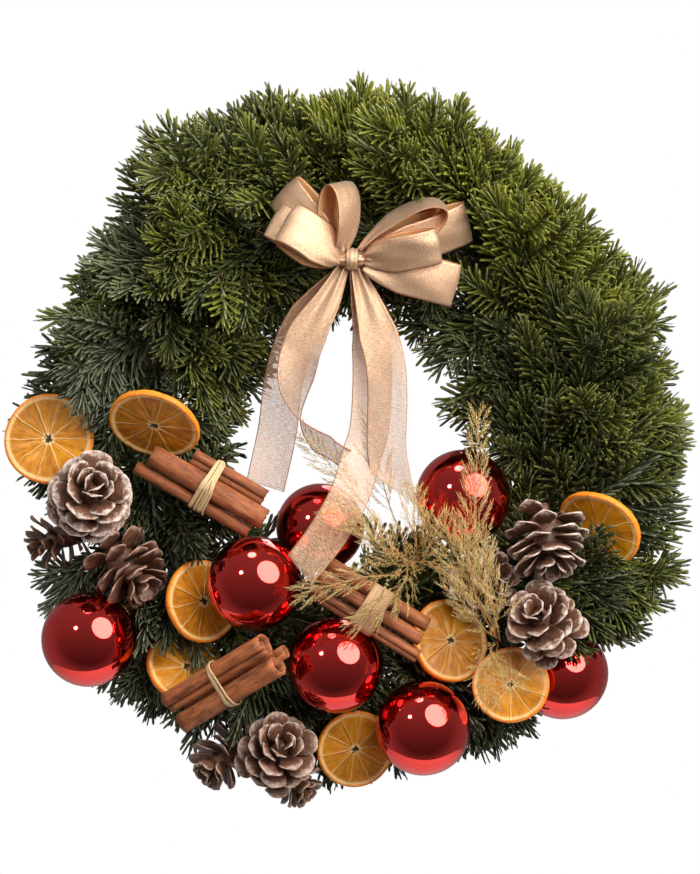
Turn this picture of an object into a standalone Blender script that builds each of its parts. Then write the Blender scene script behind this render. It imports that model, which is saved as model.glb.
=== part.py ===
"""Door wreath: fir bunches bound on a straw ring, dressed with glass-like baubles,
dried orange slices, pine cones, cinnamon bundles, dried grass and a ribbon bow.

Units are metres and +Z is up. The origin is the place where a door hook carries the
hanger loop. The door's face is the plane y = 0, and the wreath faces -Y. Places in the
tables below are millimetres from the centre of the ring: right, up, and out from the
door.
"""

import math
import random
from itertools import product

import bmesh
import bpy
from mathutils import Matrix, Vector
from mathutils.bvhtree import BVHTree

MM = 0.001
FRONT = Vector((0, -1, 0))
SEAT_GAP = 0.3 * MM

# Straw ring: half-round section with its flat side to the door
RING_RADIUS = 132 * MM
RING_HALF_WIDTH = 17
RING_DEPTH = 30
RING_STEPS = 36
RING_PROFILE = ((-1, 0), (-0.91, 0.47), (-0.53, 0.83), (0, 1), (0.53, 0.83), (0.91, 0.47), (1, 0))

# The hook carries the loop this far above the ring's centre
HANG_HEIGHT = 170 * MM

# Florist's wire, wound over the stems and round the ring
WIRE_RADIUS = 0.5 * MM
WIRE_TURNS = 8
WIRE_SECTION = (
    (0, 36.6), (4.4, 34.2), (12.2, 24), (17.9, 13), (18.3, -0.9),
    (-18.3, -0.9), (-17.9, 13), (-12.2, 24), (-4.4, 34.2),
)
WIRE_END_GAP = 0.5 * MM
WIRE_END_PLACE = 0.45
WIRE_END_TAPER = (1.2, 0.5)
WIRE_END_SIDE_GAP = 0.4 * MM
# A wire end leaves the helix in front of the ring's middle, and is clear of it this soon
WIRE_END_FRONT = 10 * MM
WIRE_END_START = 1.5 * MM

# Hanger loop of thicker wire over the florist's wire
HANGER_RADIUS = 0.6 * MM
HANGER_LEG_X = 5
HANGER_LOOP_RADIUS = 7
HANGER_ARCH_START = math.radians(-20)
HANGER_ARCH_STEPS = 8
HANGER_SECTION = (
    (19.9, -2.4), (-19.9, -2.4), (-19.6, 13.5), (-13.8, 25), (-5.8, 35.6),
    (0, 38.4), (5.8, 35.6), (13.8, 25), (19.6, 13.5),
)

# Fir: stems lie on the ring, and sprays of needles fork off them
BUNCHES = 8
STEM_RADIUS = 2.6 * MM
STEM_DEPTH = 33
STEM_SPAN = math.radians(41)
STEM_STEPS = 6
STEM_END_ROOM = math.radians(2)
TWIG_RADIUS = 1.5 * MM
TWIG_TIP_RADIUS = 1.0 * MM
BUD_LENGTH = 6 * MM
NEEDLE_LENGTH = 19 * MM
NEEDLE_LEAN = math.radians(34)
NEEDLE_BASE = 2.2 * MM
NEEDLE_SPACING = 13.5 * MM
BARE_SHARE = 0.22
NEEDLE_GAP = 0.7 * MM
BACK_LIMIT = 4.5 * MM
LOW_OUT = 13

# Each needle or spike takes the first of a few draws that touches nothing
SPIKE_TRIES = 4
SPIKE_TURN = (-0.2, 0.3)
SPIKE_SWAY = 0.35
SPIKE_LENGTH = (0.85, 1.0)
SPIKE_TAPER = 0.35
SPIKE_RADIUS = 0.8 * MM
SPIKE_START = 1.2 * MM

# Ways in which a spray may bend to stay clear: nearer the door, round the ring at its
# tip in degrees, and round the ring at its root in degrees
SPRAY_SINKS = (1, 0.85, 0.7, 0.55, 0.4)
SPRAY_SWINGS = (0, 4, -4, 8, -8, 12, -12)
SPRAY_SHIFTS = (0, 5, -5, 10, -10, 15)
SPRAY_GAP = 0.8 * MM

# A spray's curve: how far it goes round and across before it turns to its tip, and how
# high it passes over the ring's shoulder
SHOULDER_TURN = 0.35
SHOULDER_SHARE = 0.45
SHOULDER_REACH = 26
SHOULDER_LIFT = 4
HIGH_OUT = 50
HIGH_LIFT = 0.5
SPRAY_STEPS = 7

# Through the middle of the wreath nothing grows (left, right, low, high)
HOLE_BOX = (-40, 28, -26, 40)
HOLE_SIDE_BOX = (38.5, 46, -8, 30)

# Baubles: place and radius
BAUBLES = (
    (-165.6, -134.0, 62, 30),
    (-60.0, -98.0, 84, 30),
    (-9.5, -149.2, 78, 30.5),
    (46.1, -189.0, 76, 30),
    (136.0, -157.0, 34, 29.5),
    (71.4, -43.6, 72, 30),
    (-19.0, -63.2, 50, 28),
)
CAP_RADIUS = 5 * MM
CAP_LENGTH = 6 * MM
CAP_TAPER = 0.8

# Orange slices: place, radius, and how far the face turns right and up
SLICE_THICKNESS = 5 * MM
SLICES = (
    (-191.5, -7.0, 52, 29.0, -6, 4),
    (-122.6, 2.5, 84, 29.5, -12, -48),
    (-93.5, -110.0, 63, 26.5, 32, 6),
    (-104.3, -152.3, 52, 26.0, 18, 30),
    (3.2, -204.1, 50, 25.0, 12, -8),
    (63.2, -135.2, 56, 27.0, 28, 14),
    (101.8, -162.4, 66, 24.6, -10, 12),
    (158.0, -63.2, 58, 28.5, -32, -34),
)

# Pine cones: place of the middle, radius, length, and the way the tip points
CONES = (
    (-163.7, -43.0, 80, 27, 40, (0.1, -1, 0.1)),
    (-141.0, -89.0, 62, 24, 46, (0.6, -0.5, -0.65)),
    (-186.0, -70.0, 42, 20, 44, (-0.9, -0.25, -0.35)),
    (-46.1, -204.8, 76, 25, 40, (0.1, -1, 0.2)),
    (-88.0, -214.0, 54, 20, 46, (-0.75, -0.3, -0.7)),
    (-36.0, -224.0, 42, 18, 34, (0.5, -0.1, -0.85)),
    (124.0, -71.0, 88, 26, 44, (0.1, -0.45, -0.9)),
    (121.3, -122.0, 88, 24, 42, (-0.25, -0.9, 0.35)),
    (84.7, -98.0, 60, 21, 42, (0.6, -0.7, 0.35)),
)
CONE_TIERS = 5
CONE_LOBES = 5
CONE_CORE = (0.42, 0.22)
CONE_TIP_SHARE = 0.38
CONE_BASE_SHARE = 0.9
CONE_SCALED_LENGTH = 0.72
CONE_LIFT = (0.35, 1.5)
CONE_DIP = (0.5, 0.7)

# Cinnamon bundles: place, slope and lean to the front in degrees, and each quill's
# place beside and ahead of the middle, its radius, and where it starts and ends along
# the bundle
QUILL_WALL = 1.6 * MM
QUILL_SLIT = math.radians(50)
QUILL_STEPS = 8
BUNDLES = (
    ((-89.4, -37.3, 78), -30, 0,
     ((0, 0, 7.2, -41, 41), (11.9, -6.5, 5.6, -18, 34), (-11.6, -3.6, 4.4, -46, 36))),
    ((-79.3, -160.0, 98), 32, 25,
     ((7.6, 0, 7.3, -40, 40), (-7.6, 0.3, 7.0, -39, 41), (-3.0, -12.2, 4.4, -37, 43))),
    ((15.5, -114.5, 97), -32, 0,
     ((9.9, -1, 4.8, -40, 42), (0, 1.5, 4.8, -43, 40), (-9.9, -1, 4.8, -39, 43))),
)
TIE_WIDTH = 5 * MM
TIE_GAP = 0.4 * MM
TIE_THICKNESS = 1 * MM
TIE_STEPS = 12

# Bow of wired ribbon: knot, loops and tails
RIBBON_WIDTH = 25 * MM
RIBBON_THICKNESS = 0.8 * MM
KNOT = (1.3, 106.0, 84)
KNOT_REACH = (5.9, 7.1)
KNOT_HALF_WIDTH = 1
KNOT_STEPS = 12
GATHER = (11, 5.2, 5.2)
TAIL_GATHER = (12, 7, 4.5)
TAIL_GATHER_SHIFT = (0, 7, -11)
LOOPS = (
    # start off the knot and tip, each as right, up and out, bulge, twist, width share
    ((-8, -1, 2), (-40, 130, 94), 10, -18, 1.1),
    ((-8, 2, -2), (-41, 150, 72), 10, 20, 1.05),
    ((-8, 5, 1), (-7, 154, 92), 11, -50, 0.85),
    ((5, 4, 0), (60, 139, 84), 13, 65, 0.8),
    ((8, 2, -2), (75, 131, 70), 10, -22, 1.05),
    ((8, 1, 2), (56, 114, 100), 8, -15, 0.9),
    ((8, -2, 2), (67, 89, 86), 8, -5, 1.1),
)
TAILS = (
    # centre line from the knot down, as right, up and out
    ((-5, 93, 74), (-20, 68, 70), (-35, 24, 65), (-46, -8, 61), (-53, -34, 58)),
    ((-6, 92, 80), (-19, 74, 84), (-30, 50, 82), (-31, 20, 80), (-22, -8, 78)),
    ((4, 92, 80), (10, 62, 84), (14, 20, 86), (12, -24, 94), (-6, -58, 104), (-23, -84, 112)),
    ((8, 92, 75), (17, 62, 72), (23, 24, 70), (23, -10, 70), (25, -46, 68)),
)
LOOP_STEPS = 8
LOOP_TURN = (0.03, 0.97)
LOOP_PINCH = (0.3, 1.1)
TAIL_STEPS = 8
TAIL_PINCH = (0.35, 2.2)
TAIL_WIDTH_WAY = Vector((1, 0.15, 0.1)).normalized()

# Dried grass: each head is a stalk and the plumes that fork off its foot, each as
# right, up and out
GRASS = (
    (((42, -84, 46), (36, -86, 84), (28, -84, 106), (12, -66, 116), (-12, -52, 120)),
     ((42, -78, 92), (40, -60, 108), (40, -38, 110)),
     ((30, -92, 92), (20, -92, 110), (2, -94, 120), (-34, -106, 122))),
    (((94, -133, 44), (94, -132, 86), (88, -108, 106), (78, -66, 110), (80, 8, 110)),
     ((86, -118, 94), (76, -100, 106), (66, -80, 112), (58, -56, 114)),
     ((90, -146, 92), (84, -154, 104), (88, -170, 112))),
)
GRASS_RADII = (0.9 * MM, 0.6 * MM)
GRASS_FORK = 0.8
GRASS_SPIKE = 9 * MM
GRASS_SPIKE_BASE = 1.4 * MM
GRASS_LEAN = math.radians(35)
GRASS_SPACING = 13 * MM
GRASS_TIP = 2 * MM
GRASS_GAP = 0.4 * MM
GRASS_STEPS = 8

# Sprays of needles: tip as right, up and out, with how far round the ring the root
# lies clockwise of the tip, in degrees
SPRAYS = (
    # top, from right to left
    (50, 212, 34, 14), (30, 190, 74, 22), (8, 214, 30, 12), (-24, 200, 40, 14),
    (-58, 206, 30, 16), (-88, 190, 46, 22), (-104, 168, 78, 26), (-128, 182, 34, 16),
    # left side
    (-142, 142, 44, 14), (-118, 118, 82, 10), (-162, 96, 34, 14), (-150, 104, 66, 16),
    (-183, 68, 40, 16), (-132, 62, 84, 12), (-193, 34, 34, 14), (-168, 36, 64, 16),
    (-200, -26, 26, 12), (-104, 74, 80, 30), (-100, -20, 62, 18), (-196, -98, 36, 14),
    (-150, -108, 36, 20), (-124, -60, 44, 14),
    # bottom
    (-140, -152, 34, 14), (-128, -178, 34, 12), (-98, -190, 30, 12), (-60, -172, 44, 20),
    (-14, -222, 26, 12), (14, -222, 30, 12), (30, -214, 26, 14), (86, -202, 36, 14),
    (112, -188, 40, 12), (24, -160, 44, 20), (100, -72, 44, 14),
    # right side
    (162, -138, 40, 14), (190, -116, 34, 14), (206, -94, 40, 14), (160, -96, 62, 14),
    (208, -50, 30, 12), (212, -10, 36, 12), (178, -28, 64, 18), (203, 32, 30, 12),
    (160, 22, 82, 16), (203, 80, 40, 14), (158, 62, 80, 18), (172, 108, 36, 12),
    (142, 136, 50, 14), (108, 134, 80, 16), (126, 160, 34, 12), (90, 186, 44, 12),
    (74, 170, 74, 14),
    # round the hole
    (-58, 60, 36, 10), (-64, 22, 40, 12), (-66, -14, 44, 14), (-34, 66, 30, 12),
    (24, 68, 32, 12), (46, 48, 40, 14), (59, 12, 44, 16),
    (40, -90, 30, 16), (6, -92, 36, 14), (-44, -60, 32, 14),
)


def place(right, up, out):
    """World point of a place given in millimetres from the ring's centre."""
    return Vector((right * MM, -out * MM, up * MM - HANG_HEIGHT))


def on_ring(angle, across, out):
    """World point at an angle round the ring, across its width and out from the door."""
    reach = RING_RADIUS / MM + across
    return place(reach * math.cos(angle), reach * math.sin(angle), out)


def clear_scene():
    """Remove every object so that the model starts from nothing."""
    for item in list(bpy.data.objects):
        bpy.data.objects.remove(item, do_unlink=True)


def make_material(name, colour, roughness, metallic=0.0):
    """A plain Principled material."""
    material = bpy.data.materials.new(name)
    material.use_nodes = True
    shader = material.node_tree.nodes["Principled BSDF"]
    shader.inputs["Base Color"].default_value = (*colour, 1.0)
    shader.inputs["Roughness"].default_value = roughness
    shader.inputs["Metallic"].default_value = metallic
    material.diffuse_color = (*colour, 1.0)
    return material


def add_object(name, shape, material, matrix=None, collection=None):
    """Turn a bmesh into a named object, standing at the given matrix."""
    if shape.calc_volume(signed=True) < 0:
        bmesh.ops.reverse_faces(shape, faces=shape.faces)
    mesh = bpy.data.meshes.new(name)
    shape.to_mesh(mesh)
    shape.free()
    mesh.materials.append(material)
    mesh.shade_smooth()
    mesh.set_sharp_from_angle(angle=math.radians(40))
    item = bpy.data.objects.new(name, mesh)
    if matrix is not None:
        item.matrix_world = matrix
    (collection or bpy.context.scene.collection).objects.link(item)
    return item


def facing(origin, axis):
    """Matrix that puts local +Z along an axis."""
    return Matrix.Translation(origin) @ axis.to_track_quat("Z", "Y").to_matrix().to_4x4()


def sweep(rings, closed=False, tip=None):
    """Skin a list of equal rings of points. An open sweep gets end caps, or a tip."""
    shape = bmesh.new()
    loops = [[shape.verts.new(point) for point in ring] for ring in rings]
    steps = len(loops) if closed else len(loops) - 1
    for index in range(steps):
        near = loops[index]
        far = loops[(index + 1) % len(loops)]
        for side, corner in enumerate(near):
            after = (side + 1) % len(near)
            shape.faces.new((corner, near[after], far[after], far[side]))
    if closed:
        return shape
    shape.faces.new(reversed(loops[0]))
    fan_or_face(shape, loops[-1], tip)
    return shape


def path_frames(points, closed=False):
    """Two side directions at each point of a path, carried along without twist."""
    count = len(points)
    tangents = []
    for index, point in enumerate(points):
        before = points[index - 1] if index or closed else point
        after = points[(index + 1) % count] if index < count - 1 or closed else point
        tangents.append((after - before).normalized())
    side = tangents[0].orthogonal().normalized()
    frames = []
    for tangent in tangents:
        side = (side - tangent * side.dot(tangent)).normalized()
        frames.append((tangent, side, tangent.cross(side)))
    if not closed:
        return frames
    # What the last side is off from the first is spread over the whole way round
    _, first, up = frames[0]
    slip = math.atan2(side.dot(up), side.dot(first))
    spread = []
    for index, (tangent, side, up) in enumerate(frames):
        turn = -slip * index / count
        turned = side * math.cos(turn) + up * math.sin(turn)
        spread.append((tangent, turned, tangent.cross(turned)))
    return spread


def tube_rings(points, radii, sides, closed=False):
    """Rings of points round a path, one for each path point."""
    rings = []
    for point, radius, (_, side, up) in zip(points, radii, path_frames(points, closed)):
        angles = [math.tau * step / sides for step in range(sides)]
        rings.append([point + (side * math.cos(a) + up * math.sin(a)) * radius for a in angles])
    return rings


def smooth_path(points, steps):
    """Points along a smooth curve through the given ones."""
    ends = [points[0] * 2 - points[1], *points, points[-1] * 2 - points[-2]]
    spans = len(points) - 1
    result = []
    for step in range(steps + 1):
        span = min(int(step * spans / steps), spans - 1)
        share = step * spans / steps - span
        before, start, end, after = ends[span:span + 4]
        result.append(0.5 * (
            start * 2
            + (end - before) * share
            + (before * 2 - start * 5 + end * 4 - after) * share ** 2
            + (start * 3 - before - end * 3 + after) * share ** 3
        ))
    return result


def segment_gap(start, end, other_start, other_end):
    """Shortest distance between two straight segments."""
    along = end - start
    other = other_end - other_start
    offset = start - other_start
    a, b, c = along.dot(along), along.dot(other), other.dot(other)
    d, e = along.dot(offset), other.dot(offset)
    spread = a * c - b * b
    share = min(max((b * e - c * d) / spread, 0), 1) if spread > 1e-18 else 0
    other_share = (b * share + e) / c if c > 1e-18 else 0
    if other_share < 0 or other_share > 1:
        other_share = min(max(other_share, 0), 1)
        share = min(max((b * other_share - d) / a, 0), 1)
    return (offset + along * share - other * other_share).length


class Surroundings:
    """The solids and slim runs that a new twig, needle or wire stays clear of."""

    CELL = 15 * MM
    SAMPLE = 2.5 * MM

    def __init__(self, trees=None):
        self.trees = {} if trees is None else trees
        self.runs = {}

    def add_solid(self, item):
        """Remember a finished object's surface."""
        shape = bmesh.new()
        shape.from_mesh(item.data)
        shape.transform(item.matrix_world)
        self.trees[item.name] = BVHTree.FromBMesh(shape)
        shape.free()

    def cells(self, start, end):
        """Grid cells that a run's box touches."""
        lows = [math.floor(min(a, b) / self.CELL) for a, b in zip(start, end)]
        highs = [math.floor(max(a, b) / self.CELL) for a, b in zip(start, end)]
        for x in range(lows[0] - 1, highs[0] + 2):
            for y in range(lows[1] - 1, highs[1] + 2):
                for z in range(lows[2] - 1, highs[2] + 2):
                    yield x, y, z

    def claim(self, start, end, radius, owner):
        """Remember a slim run between two points, in lengths no longer than a cell."""
        pieces = max(1, math.ceil((end - start).length / self.CELL))
        marks = [start.lerp(end, step / pieces) for step in range(pieces + 1)]
        for near, far in zip(marks, marks[1:]):
            cell = tuple(math.floor(value / self.CELL) for value in (near + far) / 2)
            self.runs.setdefault(cell, []).append((near, far, radius, owner))

    def clear_of_solids(self, start, end, gap, skip=""):
        """True where a run keeps its gap to every solid but the one skipped."""
        along = end - start
        length = along.length
        samples = max(2, math.ceil(length / self.SAMPLE))
        points = [start + along * (step / samples) for step in range(samples + 1)]
        for name, tree in self.trees.items():
            if name == skip:
                continue
            if tree.ray_cast(start, along.normalized(), length)[0] is not None:
                return False
            if any(tree.find_nearest(point, gap)[0] is not None for point in points):
                return False
        return True

    def clear_of_runs(self, start, end, gap, owner):
        """True where a run keeps its gap to all runs whose names start otherwise."""
        for cell in self.cells(start, end):
            for other_start, other_end, radius, other in self.runs.get(cell, ()):
                if other[:len(owner)] == owner:
                    continue
                if segment_gap(start, end, other_start, other_end) < gap + radius:
                    return False
        return True


def in_the_hole(point):
    """True inside the clear way through the wreath or behind the foliage's back."""
    right, up = point.x / MM, (point.z + HANG_HEIGHT) / MM
    for left, rightmost, low, high in (HOLE_BOX, HOLE_SIDE_BOX):
        if left - 1 < right < rightmost + 1 and low - 1 < up < high + 1:
            return True
    return -point.y < BACK_LIMIT


def whorl_stations(points, spacing, base):
    """Places along a twig's path, each with the distance to it and if spikes start there."""
    lengths = [(end - start).length for start, end in zip(points, points[1:])]
    total = sum(lengths)
    leafy = total * (1 - BARE_SHARE)
    whorls = max(2, round(leafy / spacing))
    marks = [(0.0, False)]
    for whorl in range(whorls):
        far = total - leafy * (whorls - 1 - whorl) / whorls
        marks += [(far - base, True), (far, False)]
    return [(point_at(points, lengths, far), far / total, spiked) for far, spiked in marks]


def whorl_spray(points, radii, spike, spacing, base, bud, allowed):
    """A twig along a path, with whorls of four spikes that grow out of its faces."""
    stations = whorl_stations(points, spacing, base)
    curve = [point for point, _, _ in stations]
    thick, thin = radii
    rings = tube_rings(curve, [thick + (thin - thick) * share for _, share, _ in stations], 4)
    frames = path_frames(curve)
    shape = bmesh.new()
    loops = [[shape.verts.new(point) for point in ring] for ring in rings]
    shape.faces.new(reversed(loops[0]))
    for index, (_, share, spiked) in enumerate(stations[:-1]):
        near, far = loops[index], loops[index + 1]
        for side in range(4):
            after = (side + 1) % 4
            corners = (near[side], near[after], far[after], far[side])
            tip = None
            if spiked:
                shrink = 1 - SPIKE_TAPER * share ** 3
                tip = allowed(corners, frames[index][0], spike * shrink)
            fan_or_face(shape, corners, tip)
    fan_or_face(shape, loops[-1], curve[-1] + frames[-1][0] * bud)
    return shape


def point_at(points, lengths, distance):
    """Point of a path at a distance from its start."""
    for start, end, length in zip(points, points[1:], lengths):
        if distance <= length:
            return start.lerp(end, distance / length)
        distance -= length
    return points[-1].copy()


def fan_or_face(shape, corners, tip):
    """Close four corners by a flat face, or by a spike if it has a tip."""
    if tip is None:
        shape.faces.new(corners)
        return
    point = shape.verts.new(tip)
    for index, corner in enumerate(corners):
        shape.faces.new((corner, corners[(index + 1) % len(corners)], point))


def spike_rule(surroundings, owner, draw, lean, gap):
    """A rule that finds a spike's tip, bent clear of everything, or no tip at all."""
    def allowed(corners, forward, length):
        root = sum((corner.co for corner in corners), Vector()) / len(corners)
        across = (corners[1].co - corners[0].co).normalized()
        outward = across.cross(forward).normalized()
        for _ in range(SPIKE_TRIES):
            turn = lean + draw.uniform(*SPIKE_TURN)
            aim = outward * math.cos(turn) + forward * math.sin(turn)
            aim = (aim + across * draw.uniform(-SPIKE_SWAY, SPIKE_SWAY)).normalized()
            tip = root + aim * length * draw.uniform(*SPIKE_LENGTH)
            start = root + aim * SPIKE_START
            if in_the_hole(tip):
                continue
            if not surroundings.clear_of_runs(start, tip, gap + SPIKE_RADIUS, owner):
                continue
            if surroundings.clear_of_solids(start, tip, gap + SPIKE_RADIUS / 2):
                surroundings.claim(root, tip, SPIKE_RADIUS, owner)
                return tip
        return None
    return allowed


def fuse(name, base, parts, material):
    """Join closed parts into the base object by one Boolean union."""
    group = bpy.data.collections.new(name + "_parts")
    bpy.context.scene.collection.children.link(group)
    for index, shape in enumerate(parts):
        add_object(f"{name}_part_{index}", shape, material, collection=group)
    join = base.modifiers.new("join", "BOOLEAN")
    join.operation = "UNION"
    join.operand_type = "COLLECTION"
    join.collection = group
    join.solver = "EXACT"
    depsgraph = bpy.context.evaluated_depsgraph_get()
    joined = bpy.data.meshes.new_from_object(base.evaluated_get(depsgraph))
    base.modifiers.remove(join)
    base.data = joined
    for item in list(group.objects):
        bpy.data.objects.remove(item, do_unlink=True)
    bpy.data.collections.remove(group)
    return base


def make_ring(material):
    """The straw ring that carries everything."""
    rings = []
    for step in range(RING_STEPS):
        angle = math.tau * step / RING_STEPS
        rings.append([on_ring(angle, across * RING_HALF_WIDTH, out * RING_DEPTH)
                      for across, out in RING_PROFILE])
    return add_object("ring_base", sweep(rings, closed=True), material)


def make_hanger(material):
    """Wire round the ring's top that ends above it in the loop for the door hook."""
    ring = RING_RADIUS / MM
    top = HANG_HEIGHT / MM + HANGER_RADIUS / MM
    middle = top - HANGER_LOOP_RADIUS
    loop_out = HANGER_SECTION[0][1]
    leg = [place(HANGER_LEG_X, ring + across, out) for across, out in HANGER_SECTION]
    mirrored = [place(-HANGER_LEG_X, ring + across, out) for across, out in HANGER_SECTION]
    arch = []
    for step in range(HANGER_ARCH_STEPS + 1):
        angle = HANGER_ARCH_START + (math.pi - HANGER_ARCH_START * 2) * step / HANGER_ARCH_STEPS
        right = HANGER_LOOP_RADIUS * math.cos(angle)
        arch.append(place(right, middle + HANGER_LOOP_RADIUS * math.sin(angle), loop_out))
    path = arch + mirrored + list(reversed(leg))
    rings = tube_rings(path, [HANGER_RADIUS] * len(path), 4, closed=True)
    return add_object("hanger_loop", sweep(rings, closed=True), material)


def wire_path():
    """Centre line of the florist's wire: a closed helix round the ring and stems."""
    count = WIRE_TURNS * len(WIRE_SECTION)
    start = math.radians(90)
    path = []
    for step in range(count):
        across, out = WIRE_SECTION[step % len(WIRE_SECTION)]
        path.append(on_ring(start + math.tau * step / count, across, out))
    return path


def make_wire(material, targets, surroundings):
    """The binding wire, with a straight end out to each thing that it holds."""
    path = wire_path()
    rings = tube_rings(path, [WIRE_RADIUS] * len(path), 3, closed=True)
    wire = add_object("florists_wire", sweep(rings, closed=True), material)
    ends = []
    for item in targets:
        start, end = wire_run(item, path, surroundings)
        surroundings.claim(start, end, WIRE_RADIUS, ("wire",))
        radii = [WIRE_RADIUS * taper for taper in WIRE_END_TAPER]
        ends.append(sweep(tube_rings([start, end], radii, 3)))
    return fuse("florists_wire", wire, ends, material)


def wire_run(item, path, surroundings):
    """Shortest clear straight run from the binding wire to a thing's surface."""
    tree = surroundings.trees[item.name]
    runs = []
    for near, far in zip(path, path[1:]):
        start = near.lerp(far, WIRE_END_PLACE)
        if -start.y > WIRE_END_FRONT:
            goal = tree.find_nearest(start)[0]
            runs.append(((goal - start).length, start, goal))
    for _, start, goal in sorted(runs, key=lambda run: run[0]):
        aim = (goal - start).normalized()
        end = goal - aim * WIRE_END_GAP
        first = start + aim * WIRE_END_START
        gap = WIRE_RADIUS + WIRE_END_SIDE_GAP
        if any(in_the_hole(first.lerp(end, share)) for share in (0.25, 0.5, 0.75, 1.0)):
            continue
        if not surroundings.clear_of_runs(first, end, gap, ("wire",)):
            continue
        if surroundings.clear_of_solids(first, end, gap, item.name):
            return start, end
    raise RuntimeError(f"no clear run of wire to {item.name}")


def make_bauble(index, spec, materials, ring_middle):
    """A ball, and the cap on the side that is turned to the ring."""
    right, up, out, radius = spec
    centre = place(right, up, out)
    back = (ring_middle(centre) - centre).normalized()
    ball = bmesh.new()
    bmesh.ops.create_uvsphere(ball, u_segments=12, v_segments=8, radius=radius * MM)
    item = add_object(f"bauble_{index}", ball, materials["bauble"], facing(centre, back))
    cap = bmesh.new()
    bmesh.ops.create_cone(
        cap, cap_ends=True, segments=10, radius1=CAP_RADIUS, radius2=CAP_RADIUS * CAP_TAPER,
        depth=CAP_LENGTH)
    spot = centre + back * (radius * MM + CAP_LENGTH / 2 + SEAT_GAP)
    metal = add_object(f"bauble_cap_{index}", cap, materials["cap"], facing(spot, back))
    return item, metal


def make_slice(index, spec, material):
    """A dried orange slice: a thin disc, turned as it lies in the wreath."""
    right, up, out, radius, turn, tilt = spec
    turn, tilt = math.radians(turn), math.radians(tilt)
    normal = Vector((math.sin(turn), -math.cos(turn) * math.cos(tilt), math.sin(tilt)))
    disc = bmesh.new()
    bmesh.ops.create_cone(
        disc, cap_ends=True, segments=20, radius1=radius * MM, radius2=radius * MM,
        depth=SLICE_THICKNESS)
    matrix = facing(place(right, up, out), normal.normalized())
    return add_object(f"orange_slice_{index}", disc, material, matrix)


def cone_rings(radius, length):
    """Tiers of scales round a core, as a root ring and a lobed lip each, and the tip."""
    points = CONE_LOBES * 3
    step = length * CONE_SCALED_LENGTH / CONE_TIERS
    rings = []
    for tier in range(CONE_TIERS):
        share = tier / (CONE_TIERS - 1)
        reach = radius * (1 - (1 - CONE_TIP_SHARE) * share ** 1.5)
        reach *= CONE_BASE_SHARE if tier == 0 else 1
        core = radius * blend(CONE_CORE, share)
        root = step * tier - length * CONE_CORE[0]
        lift = step * blend(CONE_LIFT, share)
        low, lip = [], []
        for point in range(points):
            angle = math.tau * point / points
            dip = (1, 1) if (point + tier) % 3 else CONE_DIP
            far = core + (reach - core) * dip[0]
            rise = lift * dip[1]
            low.append(Vector((core * math.cos(angle), core * math.sin(angle), root)))
            lip.append(Vector((far * math.cos(angle), far * math.sin(angle), root + rise)))
        rings += [low, lip]
    return rings, Vector((0, 0, root + lift * CONE_DIP[1] / 2))


def blend(ends, share):
    """Value part of the way from the first to the second."""
    return ends[0] + (ends[1] - ends[0]) * share


def make_cone(index, spec, material):
    """An open pine cone with its scales in tiers."""
    right, up, out, radius, length, aim = spec
    rings, tip = cone_rings(radius * MM, length * MM)
    shape = sweep(rings, tip=tip)
    matrix = facing(place(right, up, out), Vector(aim).normalized())
    return add_object(f"pine_cone_{index}", shape, material, matrix)


def quill_outline(radius):
    """Open ring of bark, as the section of one cinnamon quill."""
    bark = (math.tau - QUILL_SLIT) / QUILL_STEPS
    angles = [QUILL_SLIT / 2 + bark * step for step in range(QUILL_STEPS + 1)]
    inner = radius - QUILL_WALL
    outline = [(radius * math.cos(a), radius * math.sin(a)) for a in angles]
    outline += [(inner * math.cos(a), inner * math.sin(a)) for a in reversed(angles)]
    return outline


def tie_ring(quills, offset, height):
    """Points round the hull of a bundle, a little way off the quills."""
    points = []
    for step in range(TIE_STEPS):
        angle = math.tau * step / TIE_STEPS
        away = Vector((math.cos(angle), math.sin(angle)))
        best = max(quills, key=lambda quill: Vector(quill[:2]).dot(away) + quill[2])
        reach = best[2] * MM + offset
        points.append(Vector((best[0] * MM + away.x * reach, best[1] * MM + away.y * reach, height)))
    return points


def make_bundle(index, spec, materials):
    """Cinnamon quills and the raffia tie round their middle."""
    middle, slope, lean, quills = spec
    slope, lean = math.radians(slope), math.radians(lean)
    level = Vector((math.cos(slope), 0, math.sin(slope)))
    along = level * math.cos(lean) + FRONT * math.sin(lean)
    side = Vector((-math.sin(slope), 0, math.cos(slope)))
    matrix = Matrix((side, along.cross(side), along)).transposed().to_4x4()
    matrix.translation = place(*middle)
    items = []
    for number, (across, ahead, radius, *ends) in enumerate(quills, start=1):
        outline = [(x + across * MM, y + ahead * MM) for x, y in quill_outline(radius * MM)]
        rings = [[Vector((x, y, end * MM)) for x, y in outline] for end in ends]
        name = f"cinnamon_quill_{index}_{number}"
        items.append(add_object(name, sweep(rings), materials["cinnamon"], matrix))
    bands = []
    for height in (-TIE_WIDTH / 2, TIE_WIDTH / 2):
        bands.append(tie_ring(quills, TIE_GAP * 2, height))
    outers = [tie_ring(quills, TIE_GAP * 2 + TIE_THICKNESS, height)
              for height in (TIE_WIDTH / 2, -TIE_WIDTH / 2)]
    rings = list(zip(bands[0], bands[1], outers[0], outers[1]))
    tie = add_object(f"raffia_tie_{index}", sweep(rings, closed=True), materials["raffia"], matrix)
    return items, tie


def ribbon_rings(points, widths):
    """Sections of a strip along a path, with the width direction given at each point."""
    rings = []
    for (point, (tangent, _, _)), width in zip(zip(points, path_frames(points)), widths):
        thick = tangent.cross(width).normalized() * RIBBON_THICKNESS / 2
        half = width / 2
        rings.append([point - half - thick, point + half - thick,
                      point + half + thick, point - half + thick])
    return rings


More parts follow.
